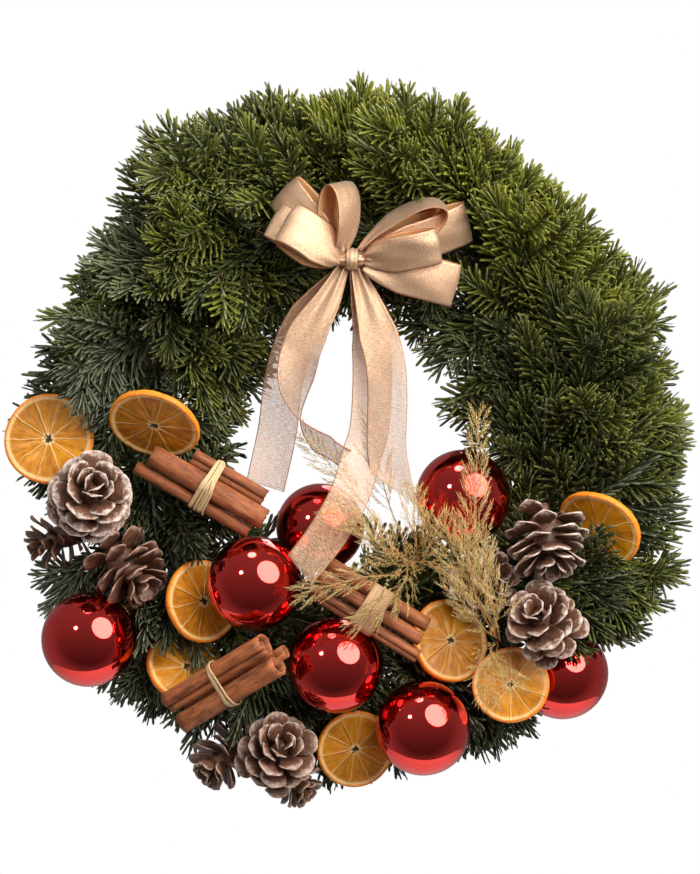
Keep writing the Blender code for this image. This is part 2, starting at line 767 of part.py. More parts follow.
def loop_shape(spec):
    """One loop of the bow, as a strip that leaves the knot and comes back to it."""
    start, tip, bulge, twist, share = spec
    origin = place(*(knot + shift for knot, shift in zip(KNOT, start)))
    out = place(*tip) - origin
    length = out.length / MM
    out.normalize()
    flat = out.cross(FRONT).normalized()
    front = flat.cross(out)
    twist = math.radians(twist)
    width_way = flat * math.cos(twist) + front * math.sin(twist)
    bulge_way = front * math.cos(twist) - flat * math.sin(twist)
    points, widths = [], []
    for step in range(LOOP_STEPS + 1):
        turn = math.tau * blend(LOOP_TURN, step / LOOP_STEPS)
        reach = length * MM * (1 - math.cos(turn)) / 2
        rise = bulge * MM * math.sin(turn) * (0.5 + 0.5 * math.sin(turn / 2))
        points.append(origin + out * reach + bulge_way * rise)
        pinch = min(1.0, LOOP_PINCH[0] + LOOP_PINCH[1] * math.sin(turn / 2))
        widths.append(width_way * RIBBON_WIDTH * share * pinch)
    return sweep(ribbon_rings(points, widths))


def pinched_ball(centre, size):
    """The gathered ribbon under a tie, as a flattened ball."""
    ball = bmesh.new()
    bmesh.ops.create_uvsphere(ball, u_segments=8, v_segments=6, radius=1.0)
    bmesh.ops.scale(ball, vec=Vector(size) * MM, verts=ball.verts)
    bmesh.ops.translate(ball, vec=centre, verts=ball.verts)
    return ball


def make_bow(materials):
    """Ribbon loops on a gathered middle, the knot round it, and the tails below."""
    ribbon = materials["ribbon"]
    centre = place(*KNOT)
    loops = add_object("bow_loops", pinched_ball(centre, GATHER), ribbon)
    fuse("bow_loops", loops, [loop_shape(spec) for spec in LOOPS], ribbon)
    near, far = KNOT_REACH
    half = KNOT_HALF_WIDTH
    knot_rings = []
    for step in range(KNOT_STEPS):
        angle = math.tau * step / KNOT_STEPS
        away = Vector((0, math.cos(angle), math.sin(angle)))
        knot_rings.append([
            centre + (away * reach + Vector((right, 0, 0))) * MM
            for reach, right in ((near, -half), (near, half), (far, half), (far, -half))])
    knot = add_object("bow_knot", sweep(knot_rings, closed=True), ribbon)
    foot = centre + Vector(TAIL_GATHER_SHIFT) * MM
    tails = add_object("bow_tails", pinched_ball(foot, TAIL_GATHER), ribbon)
    fuse("bow_tails", tails, [tail_shape(spec) for spec in TAILS], ribbon)
    return loops, knot, tails


def tail_shape(spec):
    """One tail of the bow: a strip that hangs from the gathered ribbon."""
    points = smooth_path([place(*point) for point in spec], TAIL_STEPS)
    widths = []
    for step in range(TAIL_STEPS + 1):
        pinch = min(1.0, TAIL_PINCH[0] + TAIL_PINCH[1] * step / TAIL_STEPS)
        widths.append(TAIL_WIDTH_WAY * RIBBON_WIDTH * pinch)
    return sweep(ribbon_rings(points, widths))


def make_grass(index, plumes, material, surroundings, draw):
    """One head of dried grass: a forked stalk with short spikes."""
    rule = spike_rule(
        Surroundings(surroundings.trees), ("grass", index), draw, GRASS_LEAN, GRASS_GAP)
    shapes = []
    fork = None
    for plume in plumes:
        marks = [place(*point) for point in plume]
        points = smooth_path([fork, *marks] if fork else marks, GRASS_STEPS)
        shapes.append(whorl_spray(
            points, GRASS_RADII, GRASS_SPIKE, GRASS_SPACING, GRASS_SPIKE_BASE, GRASS_TIP, rule))
        if fork is None:
            foot = whorl_stations(points, GRASS_SPACING, GRASS_SPIKE_BASE)
            fork = foot[0][0].lerp(foot[1][0], GRASS_FORK)
    name = f"dried_grass_{index}"
    return fuse(name, add_object(name, shapes[0], material), shapes[1:], material)


def spray_route(spec, surroundings):
    """The bunch and the curved path of a spray, bent until it touches nothing."""
    right, up, out, back = spec
    tip_angle = math.atan2(up, right)
    reach = math.hypot(right, up) - RING_RADIUS / MM
    for sink, swing, shift in product(SPRAY_SINKS, SPRAY_SWINGS, SPRAY_SHIFTS):
        root_angle = bunch_angle(tip_angle - math.radians(back + shift))
        bunch = bunch_of(root_angle)
        turned = tip_angle + math.radians(swing)
        points = spray_path(root_angle, turned, reach, max(out * sink, LOW_OUT))
        if route_is_clear(with_bud(points), surroundings, bunch):
            return bunch, points
    raise RuntimeError(f"no clear route for the spray to {spec}")


def spray_path(root_angle, tip_angle, reach, out):
    """Points from the stem over the ring's shoulder to a spray's tip."""
    across = math.copysign(min(abs(reach) * SHOULDER_SHARE, SHOULDER_REACH), reach)
    lift = STEM_DEPTH + SHOULDER_LIFT + max(0, out - HIGH_OUT) * HIGH_LIFT
    turn = root_angle + math.remainder(tip_angle - root_angle, math.tau) * SHOULDER_TURN
    root = on_ring(root_angle, 0, STEM_DEPTH)
    shoulder = on_ring(turn, across, lift)
    tip = on_ring(tip_angle, reach, out)
    return [bend(root, shoulder, tip, step / SPRAY_STEPS) for step in range(SPRAY_STEPS + 1)]


def with_bud(points):
    """A twig's path from the stem's surface to the end of its bud."""
    first = points[0].lerp(points[1], 0.4)
    last = points[-1] + (points[-1] - points[-2]).normalized() * BUD_LENGTH
    return [first, *points[1:], last]


def bend(start, control, end, share):
    """Point of a curve that leaves its start towards the control point."""
    return start.lerp(control, share).lerp(control.lerp(end, share), share)


def route_is_clear(points, surroundings, bunch):
    """True where a twig along the points touches nothing but its own bunch."""
    gap = TWIG_RADIUS + SPRAY_GAP
    for start, end in zip(points, points[1:]):
        if in_the_hole(end):
            return False
        if not surroundings.clear_of_runs(start, end, gap, (bunch,)):
            return False
        if not surroundings.clear_of_solids(start, end, gap):
            return False
    return True


def bunch_centre(bunch):
    """Angle of the middle of a bunch's stem."""
    return math.tau * (bunch + 0.5) / BUNCHES


def bunch_angle(angle):
    """The same angle, brought in from the gap between two stems."""
    bunch = bunch_of(angle)
    offset = (angle - bunch_centre(bunch) + math.pi) % math.tau - math.pi
    limit = STEM_SPAN / 2 - STEM_END_ROOM
    return bunch_centre(bunch) + min(max(offset, -limit), limit)


def bunch_of(angle):
    """Number of the bunch whose stem lies at an angle."""
    return int((angle % math.tau) / math.tau * BUNCHES) % BUNCHES


def stem_points(bunch):
    """Centre line of a bunch's stem along the front of the ring."""
    start = bunch_centre(bunch) - STEM_SPAN / 2
    return [on_ring(start + STEM_SPAN * step / STEM_STEPS, 0, STEM_DEPTH)
            for step in range(STEM_STEPS + 1)]


def lay_twigs(surroundings):
    """Routes of all stems and sprays, and each one's claim on its space."""
    stems = []
    for bunch in range(BUNCHES):
        points = stem_points(bunch)
        stems.append(points)
        for start, end in zip(points, points[1:]):
            surroundings.claim(start, end, STEM_RADIUS, (bunch, "stem"))
    sprays = []
    for spec in SPRAYS:
        bunch, points = spray_route(spec, surroundings)
        sprays.append((bunch, len(sprays) + 1, points))
        path = with_bud(points)
        for start, end in zip(path, path[1:]):
            surroundings.claim(start, end, TWIG_RADIUS, (bunch, len(sprays)))
    return stems, sprays


def make_bunch(bunch, stem, sprays, material, surroundings, draw):
    """One bound bunch of fir: its stem with every spray fused on."""
    rings = tube_rings(stem, [STEM_RADIUS] * len(stem), 6)
    base = add_object(f"fir_bunch_{bunch + 1}", sweep(rings), material)
    shapes = []
    for number, points in sprays:
        rule = spike_rule(surroundings, (bunch, number), draw, NEEDLE_LEAN, NEEDLE_GAP)
        shapes.append(whorl_spray(
            points, (TWIG_RADIUS, TWIG_TIP_RADIUS), NEEDLE_LENGTH, NEEDLE_SPACING,
            NEEDLE_BASE, BUD_LENGTH, rule))
    return fuse(base.name, base, shapes, material)


def main():
    clear_scene()
    draw = random.Random(24)
    materials = {
        "straw": make_material("straw", (0.50, 0.38, 0.18), 0.9),
        "wire": make_material("green wire", (0.05, 0.12, 0.06), 0.5, 0.6),
        "fir": make_material("fir", (0.07, 0.14, 0.05), 0.55),
        "bauble": make_material("red bauble", (0.55, 0.01, 0.01), 0.08, 1.0),
        "cap": make_material("gold cap", (0.75, 0.55, 0.25), 0.3, 1.0),
        "orange": make_material("dried orange", (0.80, 0.36, 0.03), 0.5),
        "cone": make_material("pine cone", (0.24, 0.13, 0.09), 0.8),
        "cinnamon": make_material("cinnamon", (0.40, 0.15, 0.06), 0.75),
        "raffia": make_material("raffia", (0.76, 0.60, 0.36), 0.8),
        "ribbon": make_material("ribbon", (0.72, 0.52, 0.34), 0.4, 0.5),
        "grass": make_material("dried grass", (0.55, 0.42, 0.18), 0.85),
    }

    def ring_middle(point):
        angle = math.atan2(point.z + HANG_HEIGHT, point.x)
        return on_ring(angle, 0, RING_DEPTH * 2 / 3)

    surroundings = Surroundings()
    solids = [make_ring(materials["straw"]), make_hanger(materials["wire"])]
    held = []
    for index, spec in enumerate(BAUBLES, start=1):
        ball, cap = make_bauble(index, spec, materials, ring_middle)
        solids.append(ball)
        held.append(cap)
    for index, spec in enumerate(SLICES, start=1):
        held.append(make_slice(index, spec, materials["orange"]))
    for index, spec in enumerate(CONES, start=1):
        held.append(make_cone(index, spec, materials["cone"]))
    for index, spec in enumerate(BUNDLES, start=1):
        quills, tie = make_bundle(index, spec, materials)
        solids += quills
        held.append(tie)
    loops, knot, tails = make_bow(materials)
    solids += [loops, knot]
    held.append(tails)
    for item in solids + held:
        surroundings.add_solid(item)
    for index, plumes in enumerate(GRASS, start=1):
        grass = make_grass(index, plumes, materials["grass"], surroundings, draw)
        surroundings.add_solid(grass)
        held.append(grass)
    for start, end in zip(wire_path(), wire_path()[1:] + wire_path()[:1]):
        surroundings.claim(start, end, WIRE_RADIUS, ("wire",))
    stems, sprays = lay_twigs(surroundings)
    make_wire(materials["wire"], held, surroundings)
    for bunch, stem in enumerate(stems):
        routes = [(number, points) for owner, number, points in sprays if owner == bunch]
        make_bunch(bunch, stem, routes, materials["fir"], surroundings, draw)


main()
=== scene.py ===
"""Looks of the door wreath, laid out as an add-on and run as a script.

Lengths are metres, +Z is up and the wreath faces -Y. Places in the tables are
millimetres from the ring's centre: right, up, and out from the door.
"""

import random
from math import atan2, copysign, cos, exp, hypot, pi, radians, remainder, sin, sqrt, tau

import bmesh
import bpy
from bpy.props import FloatProperty, FloatVectorProperty, IntProperty, PointerProperty
from bpy.types import Node, NodeSocket, Operator, Panel, PropertyGroup
from mathutils import Matrix, Vector, noise
from mathutils.bvhtree import BVHTree


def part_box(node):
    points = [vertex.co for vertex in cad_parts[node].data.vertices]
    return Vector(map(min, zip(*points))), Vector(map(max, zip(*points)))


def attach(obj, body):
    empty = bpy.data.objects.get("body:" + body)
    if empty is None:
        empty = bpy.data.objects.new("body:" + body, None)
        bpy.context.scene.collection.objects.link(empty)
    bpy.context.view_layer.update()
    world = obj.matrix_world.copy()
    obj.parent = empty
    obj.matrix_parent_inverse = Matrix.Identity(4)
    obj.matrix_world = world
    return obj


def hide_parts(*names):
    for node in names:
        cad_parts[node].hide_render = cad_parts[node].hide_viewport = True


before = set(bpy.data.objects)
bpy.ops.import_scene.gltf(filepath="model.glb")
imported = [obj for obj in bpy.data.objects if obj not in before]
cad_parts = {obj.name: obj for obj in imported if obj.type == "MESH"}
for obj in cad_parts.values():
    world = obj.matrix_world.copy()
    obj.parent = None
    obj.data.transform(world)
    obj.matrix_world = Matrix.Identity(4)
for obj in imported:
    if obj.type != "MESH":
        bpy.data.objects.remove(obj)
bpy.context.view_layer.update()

bl_info = {
    "name": "Door Wreath",
    "version": (1, 0, 0),
    "blender": (4, 5, 0),
    "location": "3D View > Sidebar > Wreath",
    "description": "Needles, cones, dried fruit, shiny balls and a ribbon bow on a door wreath",
    "category": "Object",
}

MM = 0.001
FRONT = Vector((0, -1, 0))
GOLDEN_TURN = pi * (3 - sqrt(5))

# Straw ring, as its solid stands
RING_LOW, RING_HIGH = (Vector(corner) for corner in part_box("ring_base"))
RING_MIDDLE = Vector((0, 0, (RING_LOW.z + RING_HIGH.z) / 2))
RING_HALF_WIDTH = 17
RING_DEPTH = -RING_LOW.y / MM
RING_RADIUS = RING_HIGH.x / MM - RING_HALF_WIDTH
STEM_DEPTH = 33

# Sprays of fir in each bunch: tip as right, up and out, and the root's angle in degrees
SPRAYS = {
    1: ((44, 47, 40, 34), (92, 98, 58, 40), (112, 64, 62, 18), (108, 134, 80, 35),
        (108, 142, 34, 40), (142, 136, 50, 30), (172, 108, 36, 20), (205, 93, 36, 10),
        (104, 182, 44, 50), (140, 84, 60, 14), (152, 58, 54, 4), (118, 108, 62, 28),
        (176, 118, 40, 24), (184, 70, 44, 8)),
    2: ((-58, 206, 30, 80), (-24, 194, 40, 83), (8, 215, 30, 76), (24, 68, 32, 59),
        (30, 190, 74, 59), (53, 215, 34, 63), (74, 170, 74, 52), (90, 186, 44, 52),
        (-44, 200, 40, 97), (92, 160, 60, 56), (-6, 74, 46, 80), (12, 84, 48, 76),
        (-6, 196, 56, 84), (60, 180, 60, 62)),
    3: ((-162, 96, 34, 130), (-150, 104, 66, 129), (-152, 144, 44, 121), (-127, 186, 34, 111),
        (-118, 118, 82, 125), (-104, 74, 80, 115), (-104, 168, 78, 96), (-84, 184, 46, 98),
        (-58, 60, 36, 124), (-34, 66, 30, 105), (-62, 206, 36, 100), (-34, 84, 52, 122),
        (-70, 196, 44, 100), (-100, 140, 76, 118)),
    4: ((-200, -26, 26, 175), (-193, 34, 34, 156), (-186, 70, 40, 146), (-168, 36, 64, 152),
        (-132, 62, 84, 143), (-100, -20, 62, 168), (-68, 22, 40, 149), (-48, 44, 40, 140),
        (-56, 22, 46, 152), (-196, 4, 40, 168), (-88, 40, 56, 150)),
    5: ((-189, -111, 36, 198), (-150, -108, 36, 206), (-140, -152, 34, 213), (-128, -178, 34, 221),
        (-124, -60, 44, 192), (-69, -14, 44, 184), (-196, -94, 28, 198), (-180, -104, 24, 204),
        (-146, -60, 34, 196), (-130, -70, 30, 200), (-186, -66, 30, 190), (-72, -40, 50, 194),
        (-112, -84, 40, 205)),
    6: ((-98, -190, 30, 236), (-60, -172, 44, 231), (-44, -60, 32, 230), (-14, -222, 26, 254),
        (6, -92, 36, 260), (14, -222, 30, 262), (24, -160, 44, 259), (30, -214, 26, 264),
        (-118, -186, 34, 226), (-20, -120, 44, 262), (-40, -196, 36, 248)),
    7: ((40, -90, 30, 278), (76, -188, 36, 279), (112, -188, 40, 289), (160, -96, 62, 310),
        (171, -126, 40, 306), (178, -104, 34, 313), (100, -204, 28, 290), (32, -62, 56, 276),
        (60, -84, 50, 288), (76, -186, 30, 290), (136, -172, 24, 300), (173, -134, 24, 308)),
    8: ((66, 36, 44, 6), (100, -72, 44, 319), (158, 62, 80, 356), (160, 22, 82, 352),
        (178, -28, 64, 333), (199, 32, 30, 356), (206, -94, 40, 321), (217, -46, 28, 334),
        (220, -6, 32, 345), (92, 22, 56, 342), (86, 42, 50, 352), (214, -4, 36, 346),
        (196, -112, 34, 322), (150, -20, 60, 336), (190, 8, 52, 348)),
}

# Where shoots fork off a spray: the first one's share of the spray and least distance, and
# the distance from the tip where they end
FIRST_FORK, FIRST_FORK_LEAST, LAST_FORK = 0.2, 0.022, 0.012
SHOOT_SHORTEST, SHOOT_LONGEST = 0.026, 0.058
FRONT_SHOOT_CHANCE = 0.25

# Radii of a bunch's stem, its sprays, shoots and fillers at their roots, in millimetres
STEM_GIRTH, SPRAY_GIRTH, SHOOT_GIRTH, FILLER_GIRTH = 2.6, 1.7, 1.1, 1.2

# Room that twigs leave, in metres to the decoration and the door, and in millimetres to the
# open way and to the wreath's outline
SPRAY_ROOM, SHOOT_ROOM, DOOR_ROOM = 0.001, 0.004, 0.007
HOLE_ROOM = 5
SPRAY_EDGE_ROOM, SHOOT_EDGE_ROOM, FILLER_EDGE_ROOM = (5, 9), (7, 16), 14
FILLERS = 18

# How far the wreath reaches from its middle, each eight degrees from the right and up
REACH = (
    220, 212, 211, 229, 212, 205, 209, 207, 211, 224, 222, 224, 214, 222, 221,
    231, 230, 212, 206, 207, 207, 204, 217, 221, 209, 216, 229, 242, 238, 228,
    223, 243, 241, 237, 229, 225, 224, 232, 229, 236, 226, 230, 233, 222, 219,
)

# Open way through the wreath: middle and half sizes, right and up
HOLE = (-4, 17, 54, 48)

# Shiny balls: middle as right, up and out, and radius
BAUBLES = (
    (-165.6, -134.0, 62, 30), (-60.0, -98.0, 84, 30), (-9.5, -149.2, 78, 30.5),
    (46.1, -189.0, 76, 30), (136.0, -157.0, 34, 29.5), (71.4, -43.6, 72, 30),
    (-19.0, -63.2, 50, 28),
)

# Orange slices: middle, radius, how far the face turns right and up in degrees, and dent
SLICES = (
    (-191.5, -7.0, 52, 29.0, -6, 4, 0.3), (-122.6, 2.5, 84, 29.5, -12, -48, 0.4),
    (-93.5, -110.0, 63, 26.5, 32, 6, 0.6), (-104.3, -152.3, 52, 26.0, 18, 30, 0.5),
    (3.2, -204.1, 50, 25.0, 12, -8, 0.3), (63.2, -135.2, 56, 27.0, 28, 14, 0.4),
    (101.8, -162.4, 66, 24.6, -10, 12, 0.6), (158.0, -63.2, 58, 28.5, -32, -34, 1.0),
)

# Pine cones: middle, radius, length, the way the tip points, how broad the scales are,
# how open, and how frosted
CONES = (
    (-163.7, -43.0, 80, 27, 40, (0.2, -1, 0.4), 1.15, 0.9, 0.9),
    (-141.0, -89.0, 62, 24, 46, (0.6, -0.5, -0.65), 1.0, 1.0, 0.25),
    (-186.0, -70.0, 42, 20, 44, (-0.9, -0.25, -0.35), 0.55, 1.0, 0.05),
    (-46.1, -204.8, 76, 25, 40, (0.3, -1, 0.45), 1.0, 0.75, 0.5),
    (-80.0, -209.0, 54, 20, 44, (-0.65, -0.5, -0.55), 0.9, 0.8, 0.35),
    (-36.0, -224.0, 42, 18, 30, (0.6, -0.3, -0.6), 0.85, 0.9, 0.35),
    (124.0, -71.0, 88, 26, 44, (0.1, -0.45, -0.9), 0.95, 1.0, 0.8),
    (121.3, -122.0, 88, 24, 42, (-0.35, -0.85, 0.5), 1.0, 0.9, 0.7),
    (84.7, -98.0, 60, 21, 42, (0.6, -0.7, 0.35), 1.0, 1.0, 0.9),
)

# Cinnamon bundles: middle, slope and lean to the front in degrees, and each quill's place
# beside and ahead of the middle, its radius, where it starts and ends along the bundle,
# and its turn
BUNDLES = (
    ((-89.4, -37.3, 78), -30, 0,
     ((0, 0, 7.2, -41, 41, 200), (11.9, -6.5, 5.6, -18, 34, 20), (-11.6, -3.6, 4.4, -46, 36, 250))),
    ((-79.3, -160.0, 98), 32, 25,
     ((7.6, 0, 7.3, -40, 40, 30), (-7.6, 0.3, 7.0, -39, 41, 250), (-3.0, -12.2, 4.4, -37, 43, 0))),
    ((15.5, -114.5, 97), -32, 0,
     ((9.9, -1, 4.8, -40, 33, 140), (0, 1.5, 4.8, -43, 34, 80), (-9.9, -1, 4.8, -39, 38, 30))),
)

# Bow: knot, loops as start off the knot, tip, bulge, twist in degrees and width share
KNOT = (1.3, 106.0, 84)
LOOPS = (
    ((-8, -1, 2), (-41, 129, 94), 10, -18, 1.15),
    ((-8, 0, 0), (-49, 131, 84), 8, -4, 0.95),
    ((-8, 2, -2), (-42, 151, 72), 10, 20, 1.05),
    ((-8, 5, 1), (-7, 154, 92), 11, -50, 0.85),
    ((5, 4, 0), (60, 139, 84), 13, 65, 0.8),
    ((8, 2, -2), (75, 131, 70), 10, -22, 1.05),
    ((8, 1, 2), (56, 114, 100), 9, -15, 0.9),
    ((8, -2, 2), (67, 89, 86), 8, -5, 1.1),
)

# Tails of the bow: centre line down from the knot, how far it turns about its line in
# degrees from top to end, and how much longer the right edge is
TAILS = (
    (((-5, 101, 78), (-20, 80, 72), (-34, 56, 68), (-42, 29, 65), (-46, -2, 61), (-54, -37, 58)),
     0, 1),
    (((-4, 101, 82), (-14, 80, 86), (-27, 58, 86), (-34, 36, 84), (-35, 18, 82), (-30, 2, 80),
      (-18, -11, 78), (-4, -20, 76)), 130, 0),
    (((3, 101, 80), (8, 81, 80), (13, 56, 79), (14, 32, 80), (12, 0, 81), (7, -18, 85),
      (0, -41, 96), (-13, -65, 105), (-31, -89, 112)), 0, 4),
    (((4, 101, 82), (11, 80, 86), (18, 57, 88), (22, 40, 89), (23.5, 20, 89), (23, -10, 88),
      (25, -25, 89), (28, -39, 91)), 0, 14),
)

# Dried grass: each head is a stalk and the plumes that fork off it
GRASS = (
    (((42, -84, 46), (36, -86, 84), (28, -84, 106), (12, -66, 113), (-12, -52, 114)),
     ((42, -78, 92), (40, -60, 108), (40, -38, 110)),
     ((30, -92, 92), (20, -92, 109), (2, -94, 114), (-34, -104, 117)),
     ((38, -80, 74), (26, -52, 72), (18, -22, 74), (12, 8, 76)),
     ((30, -78, 76), (12, -52, 80), (-10, -26, 84), (-30, -4, 84)),
     ((36, -86, 94), (34, -96, 104), (20, -112, 110), (0, -122, 112)),
     ((40, -84, 94), (52, -84, 104), (62, -92, 108)),
     ((36, -84, 92), (22, -70, 104), (6, -58, 108)),
     ((44, -86, 92), (50, -68, 104), (48, -52, 106))),
    (((94, -133, 44), (94, -132, 86), (88, -108, 106), (78, -66, 110), (80, 8, 110)),
     ((86, -118, 94), (76, -100, 106), (66, -80, 112), (58, -56, 114)),
     ((90, -146, 92), (84, -154, 104), (88, -170, 112)),
     ((86, -122, 98), (78, -104, 110), (74, -84, 112), (72, -58, 112)),
     ((84, -126, 98), (70, -108, 110), (64, -98, 112)),
     ((90, -128, 98), (92, -112, 108), (86, -92, 112), (84, -72, 112)),
     ((88, -140, 96), (96, -152, 106), (102, -160, 108))),
)

# Hanger: wire round the ring's top that ends above it in a loop
HANGER_SECTION = (
    (19.9, -2.4), (-19.9, -2.4), (-19.6, 13.5), (-13.8, 25), (-5.8, 35.6),
    (0, 38.4), (5.8, 35.6), (13.8, 25), (19.6, 13.5),
)

# Hanger: radius of the bend at its top, each leg's distance from the middle, where its arch
# lies out from the door, and the wire's radius
HANGER_BEND, HANGER_LEG, HANGER_OUT, HANGER_WIRE = 7, 5, -2.4, 0.6

# Tint of each bundle's bark; and the flat band that ties the third, as two strands: half
# width, place along the bundle, lift and fan
BARK_TINTS = (0.85, 1.15, 0.9)
BANDED_BUNDLE = 3
FLAT_BAND = ((3.9, -5.6, 0.3, 0.0), (3.9, 1.6, 0.5, 0.0))

# Lengthwise steps of a ribbon strip, and steps across it
RIBBON_STEPS, RIBBON_COLUMNS = 64, 16

# Half length of the bow's knot; the band round it: radius, half width and columns
KNOT_HALF = 11
BAND_RADIUS, BAND_HALF, BAND_COLUMNS = 6.3, 3.6, 8

# Radii of a grass stalk at its root and of its fine branches
STALK_GIRTH, BRANCH_GIRTH = 0.6, 0.11

# Lights: name, place, size, power and colour
LIGHTS = (
    ("key", (0.85, -1.15, 0.55), 1.6, 56, (1.0, 0.94, 0.84)),
    ("top", (-0.2, -0.5, 1.5), 0.5, 8, (1.0, 0.97, 0.92)),
    ("fill", (-1.1, -1.6, 0.7), 0.3, 10, (1.0, 0.95, 0.88)),
    ("rim", (0.5, 1.2, 0.9), 1.0, 14, (1.0, 1.0, 1.0)),
)
LENS = 165.0
CAMERA_DROP = 5.7 * MM
FLOOR_RADIUS, FLOOR_BACK = 1.5, 1.25

# Brightness of the room round the wreath, from its floor to its ceiling, and of the side
# that the wreath faces
ROOM_LOW, ROOM_HIGH, ROOM_FRONT = 0.06, 0.34, 0.30


def place(right, up, out):
    """World point of a place given in millimetres from the ring's centre."""
    return RING_MIDDLE + Vector((right, -out, up)) * MM


def on_ring(angle, across, out):
    """World point at an angle round the ring, across its width and out from the door."""
    reach = RING_RADIUS + across
    return place(reach * cos(angle), reach * sin(angle), out)


def blend(start, end, share):
    """Value part of the way from the first to the second."""
    return start + (end - start) * share


def clamp(value, low=0.0, high=1.0):
    """The value, kept between two limits."""
    return min(max(value, low), high)


def angles(count):
    """Angles at equal steps, once round."""
    return [tau * step / count for step in range(count)]


def shares(count):
    """Equal steps from nothing to full, both ends included."""
    return [step / count for step in range(count + 1)]


def polar(reach, angle, height=0.0):
    """Point at a distance and an angle round the Z axis."""
    return Vector((reach * cos(angle), reach * sin(angle), height))


def smooth_path(points, steps):
    """Points along a smooth curve through the given ones."""
    ends = [points[0] * 2 - points[1], *points, points[-1] * 2 - points[-2]]
    spans = len(points) - 1
    result = []
    for step in range(steps + 1):
        span = min(int(step * spans / steps), spans - 1)
        share = step * spans / steps - span
        before, start, end, after = ends[span:span + 4]
        result.append(0.5 * (
            start * 2
            + (end - before) * share
            + (before * 2 - start * 5 + end * 4 - after) * share ** 2
            + (start * 3 - before - end * 3 + after) * share ** 3
        ))
    return result


def facing(origin, axis):
    """Matrix that puts local +Z along an axis."""
    return Matrix.Translation(origin) @ axis.to_track_quat("Z", "Y").to_matrix().to_4x4()


def new_object(name, data, *finishes):
    """An object at the origin that shows its data, a mesh in its finishes."""
    for finish in finishes:
        data.materials.append(finish)
    item = bpy.data.objects.new(name, data)
    bpy.context.scene.collection.objects.link(item)
    return item


def store(mesh, name, values):
    """Keep one number or vector for each point of a mesh."""
    if isinstance(values[0], (tuple, Vector)):
        layer = mesh.attributes.new(name, "FLOAT_VECTOR", "POINT")
        layer.data.foreach_set("vector", [part for value in values for part in value])
    else:
        mesh.attributes.new(name, "FLOAT", "POINT").data.foreach_set("value", values)


def hand_over(piece, node):
    """Let a finished piece ride on the wreath and stand for its solid."""
    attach(piece, "root")
    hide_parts(node)
    return piece


class Surface:
    """A mesh in the making: points with named values, and faces between them."""

    def __init__(self):
        self.points = []
        self.faces = []
        self.values = {}

    def add(self, point, **values):
        """One more point; returns its number."""
        for name, value in values.items():
            self.values.setdefault(name, []).append(value)
        self.points.append(point)
        return len(self.points) - 1

    def skin(self, rows, closed_round=False, closed_along=False):
        """Faces between neighbouring rows of point numbers."""
        spans = len(rows) if closed_along else len(rows) - 1
        for index in range(spans):
            near, far = rows[index], rows[(index + 1) % len(rows)]
            wide = max(len(near), len(far))
            for side in range(wide if closed_round else wide - 1):
                after = (side + 1) % wide
                corners = (near[side % len(near)], near[after % len(near)],
                        far[after % len(far)], far[side % len(far)])
                self.faces.append(tuple(dict.fromkeys(corners)))

    def close_ends(self, rows):
        """Faces over the first and last rows, which run out on one face and back on the other."""
        for row in (rows[0], rows[-1]):
            last = len(row) - 1
            self.faces += [(row[step], row[step + 1], row[last - 1 - step], row[last - step])
                    for step in range(len(row) // 2 - 1)]

    def mesh(self, name, matrix=None):
        """The finished mesh with its faces pointing out."""
        mesh = bpy.data.meshes.new(name)
        mesh.from_pydata(self.points, [], self.faces)
        for key, values in self.values.items():
            store(mesh, key, values)
        shape = bmesh.new()
        shape.from_mesh(mesh)
        bmesh.ops.recalc_face_normals(shape, faces=shape.faces)
        shape.to_mesh(mesh)
        shape.free()
        if matrix is not None:
            mesh.transform(matrix)
        mesh.shade_smooth()
        return mesh


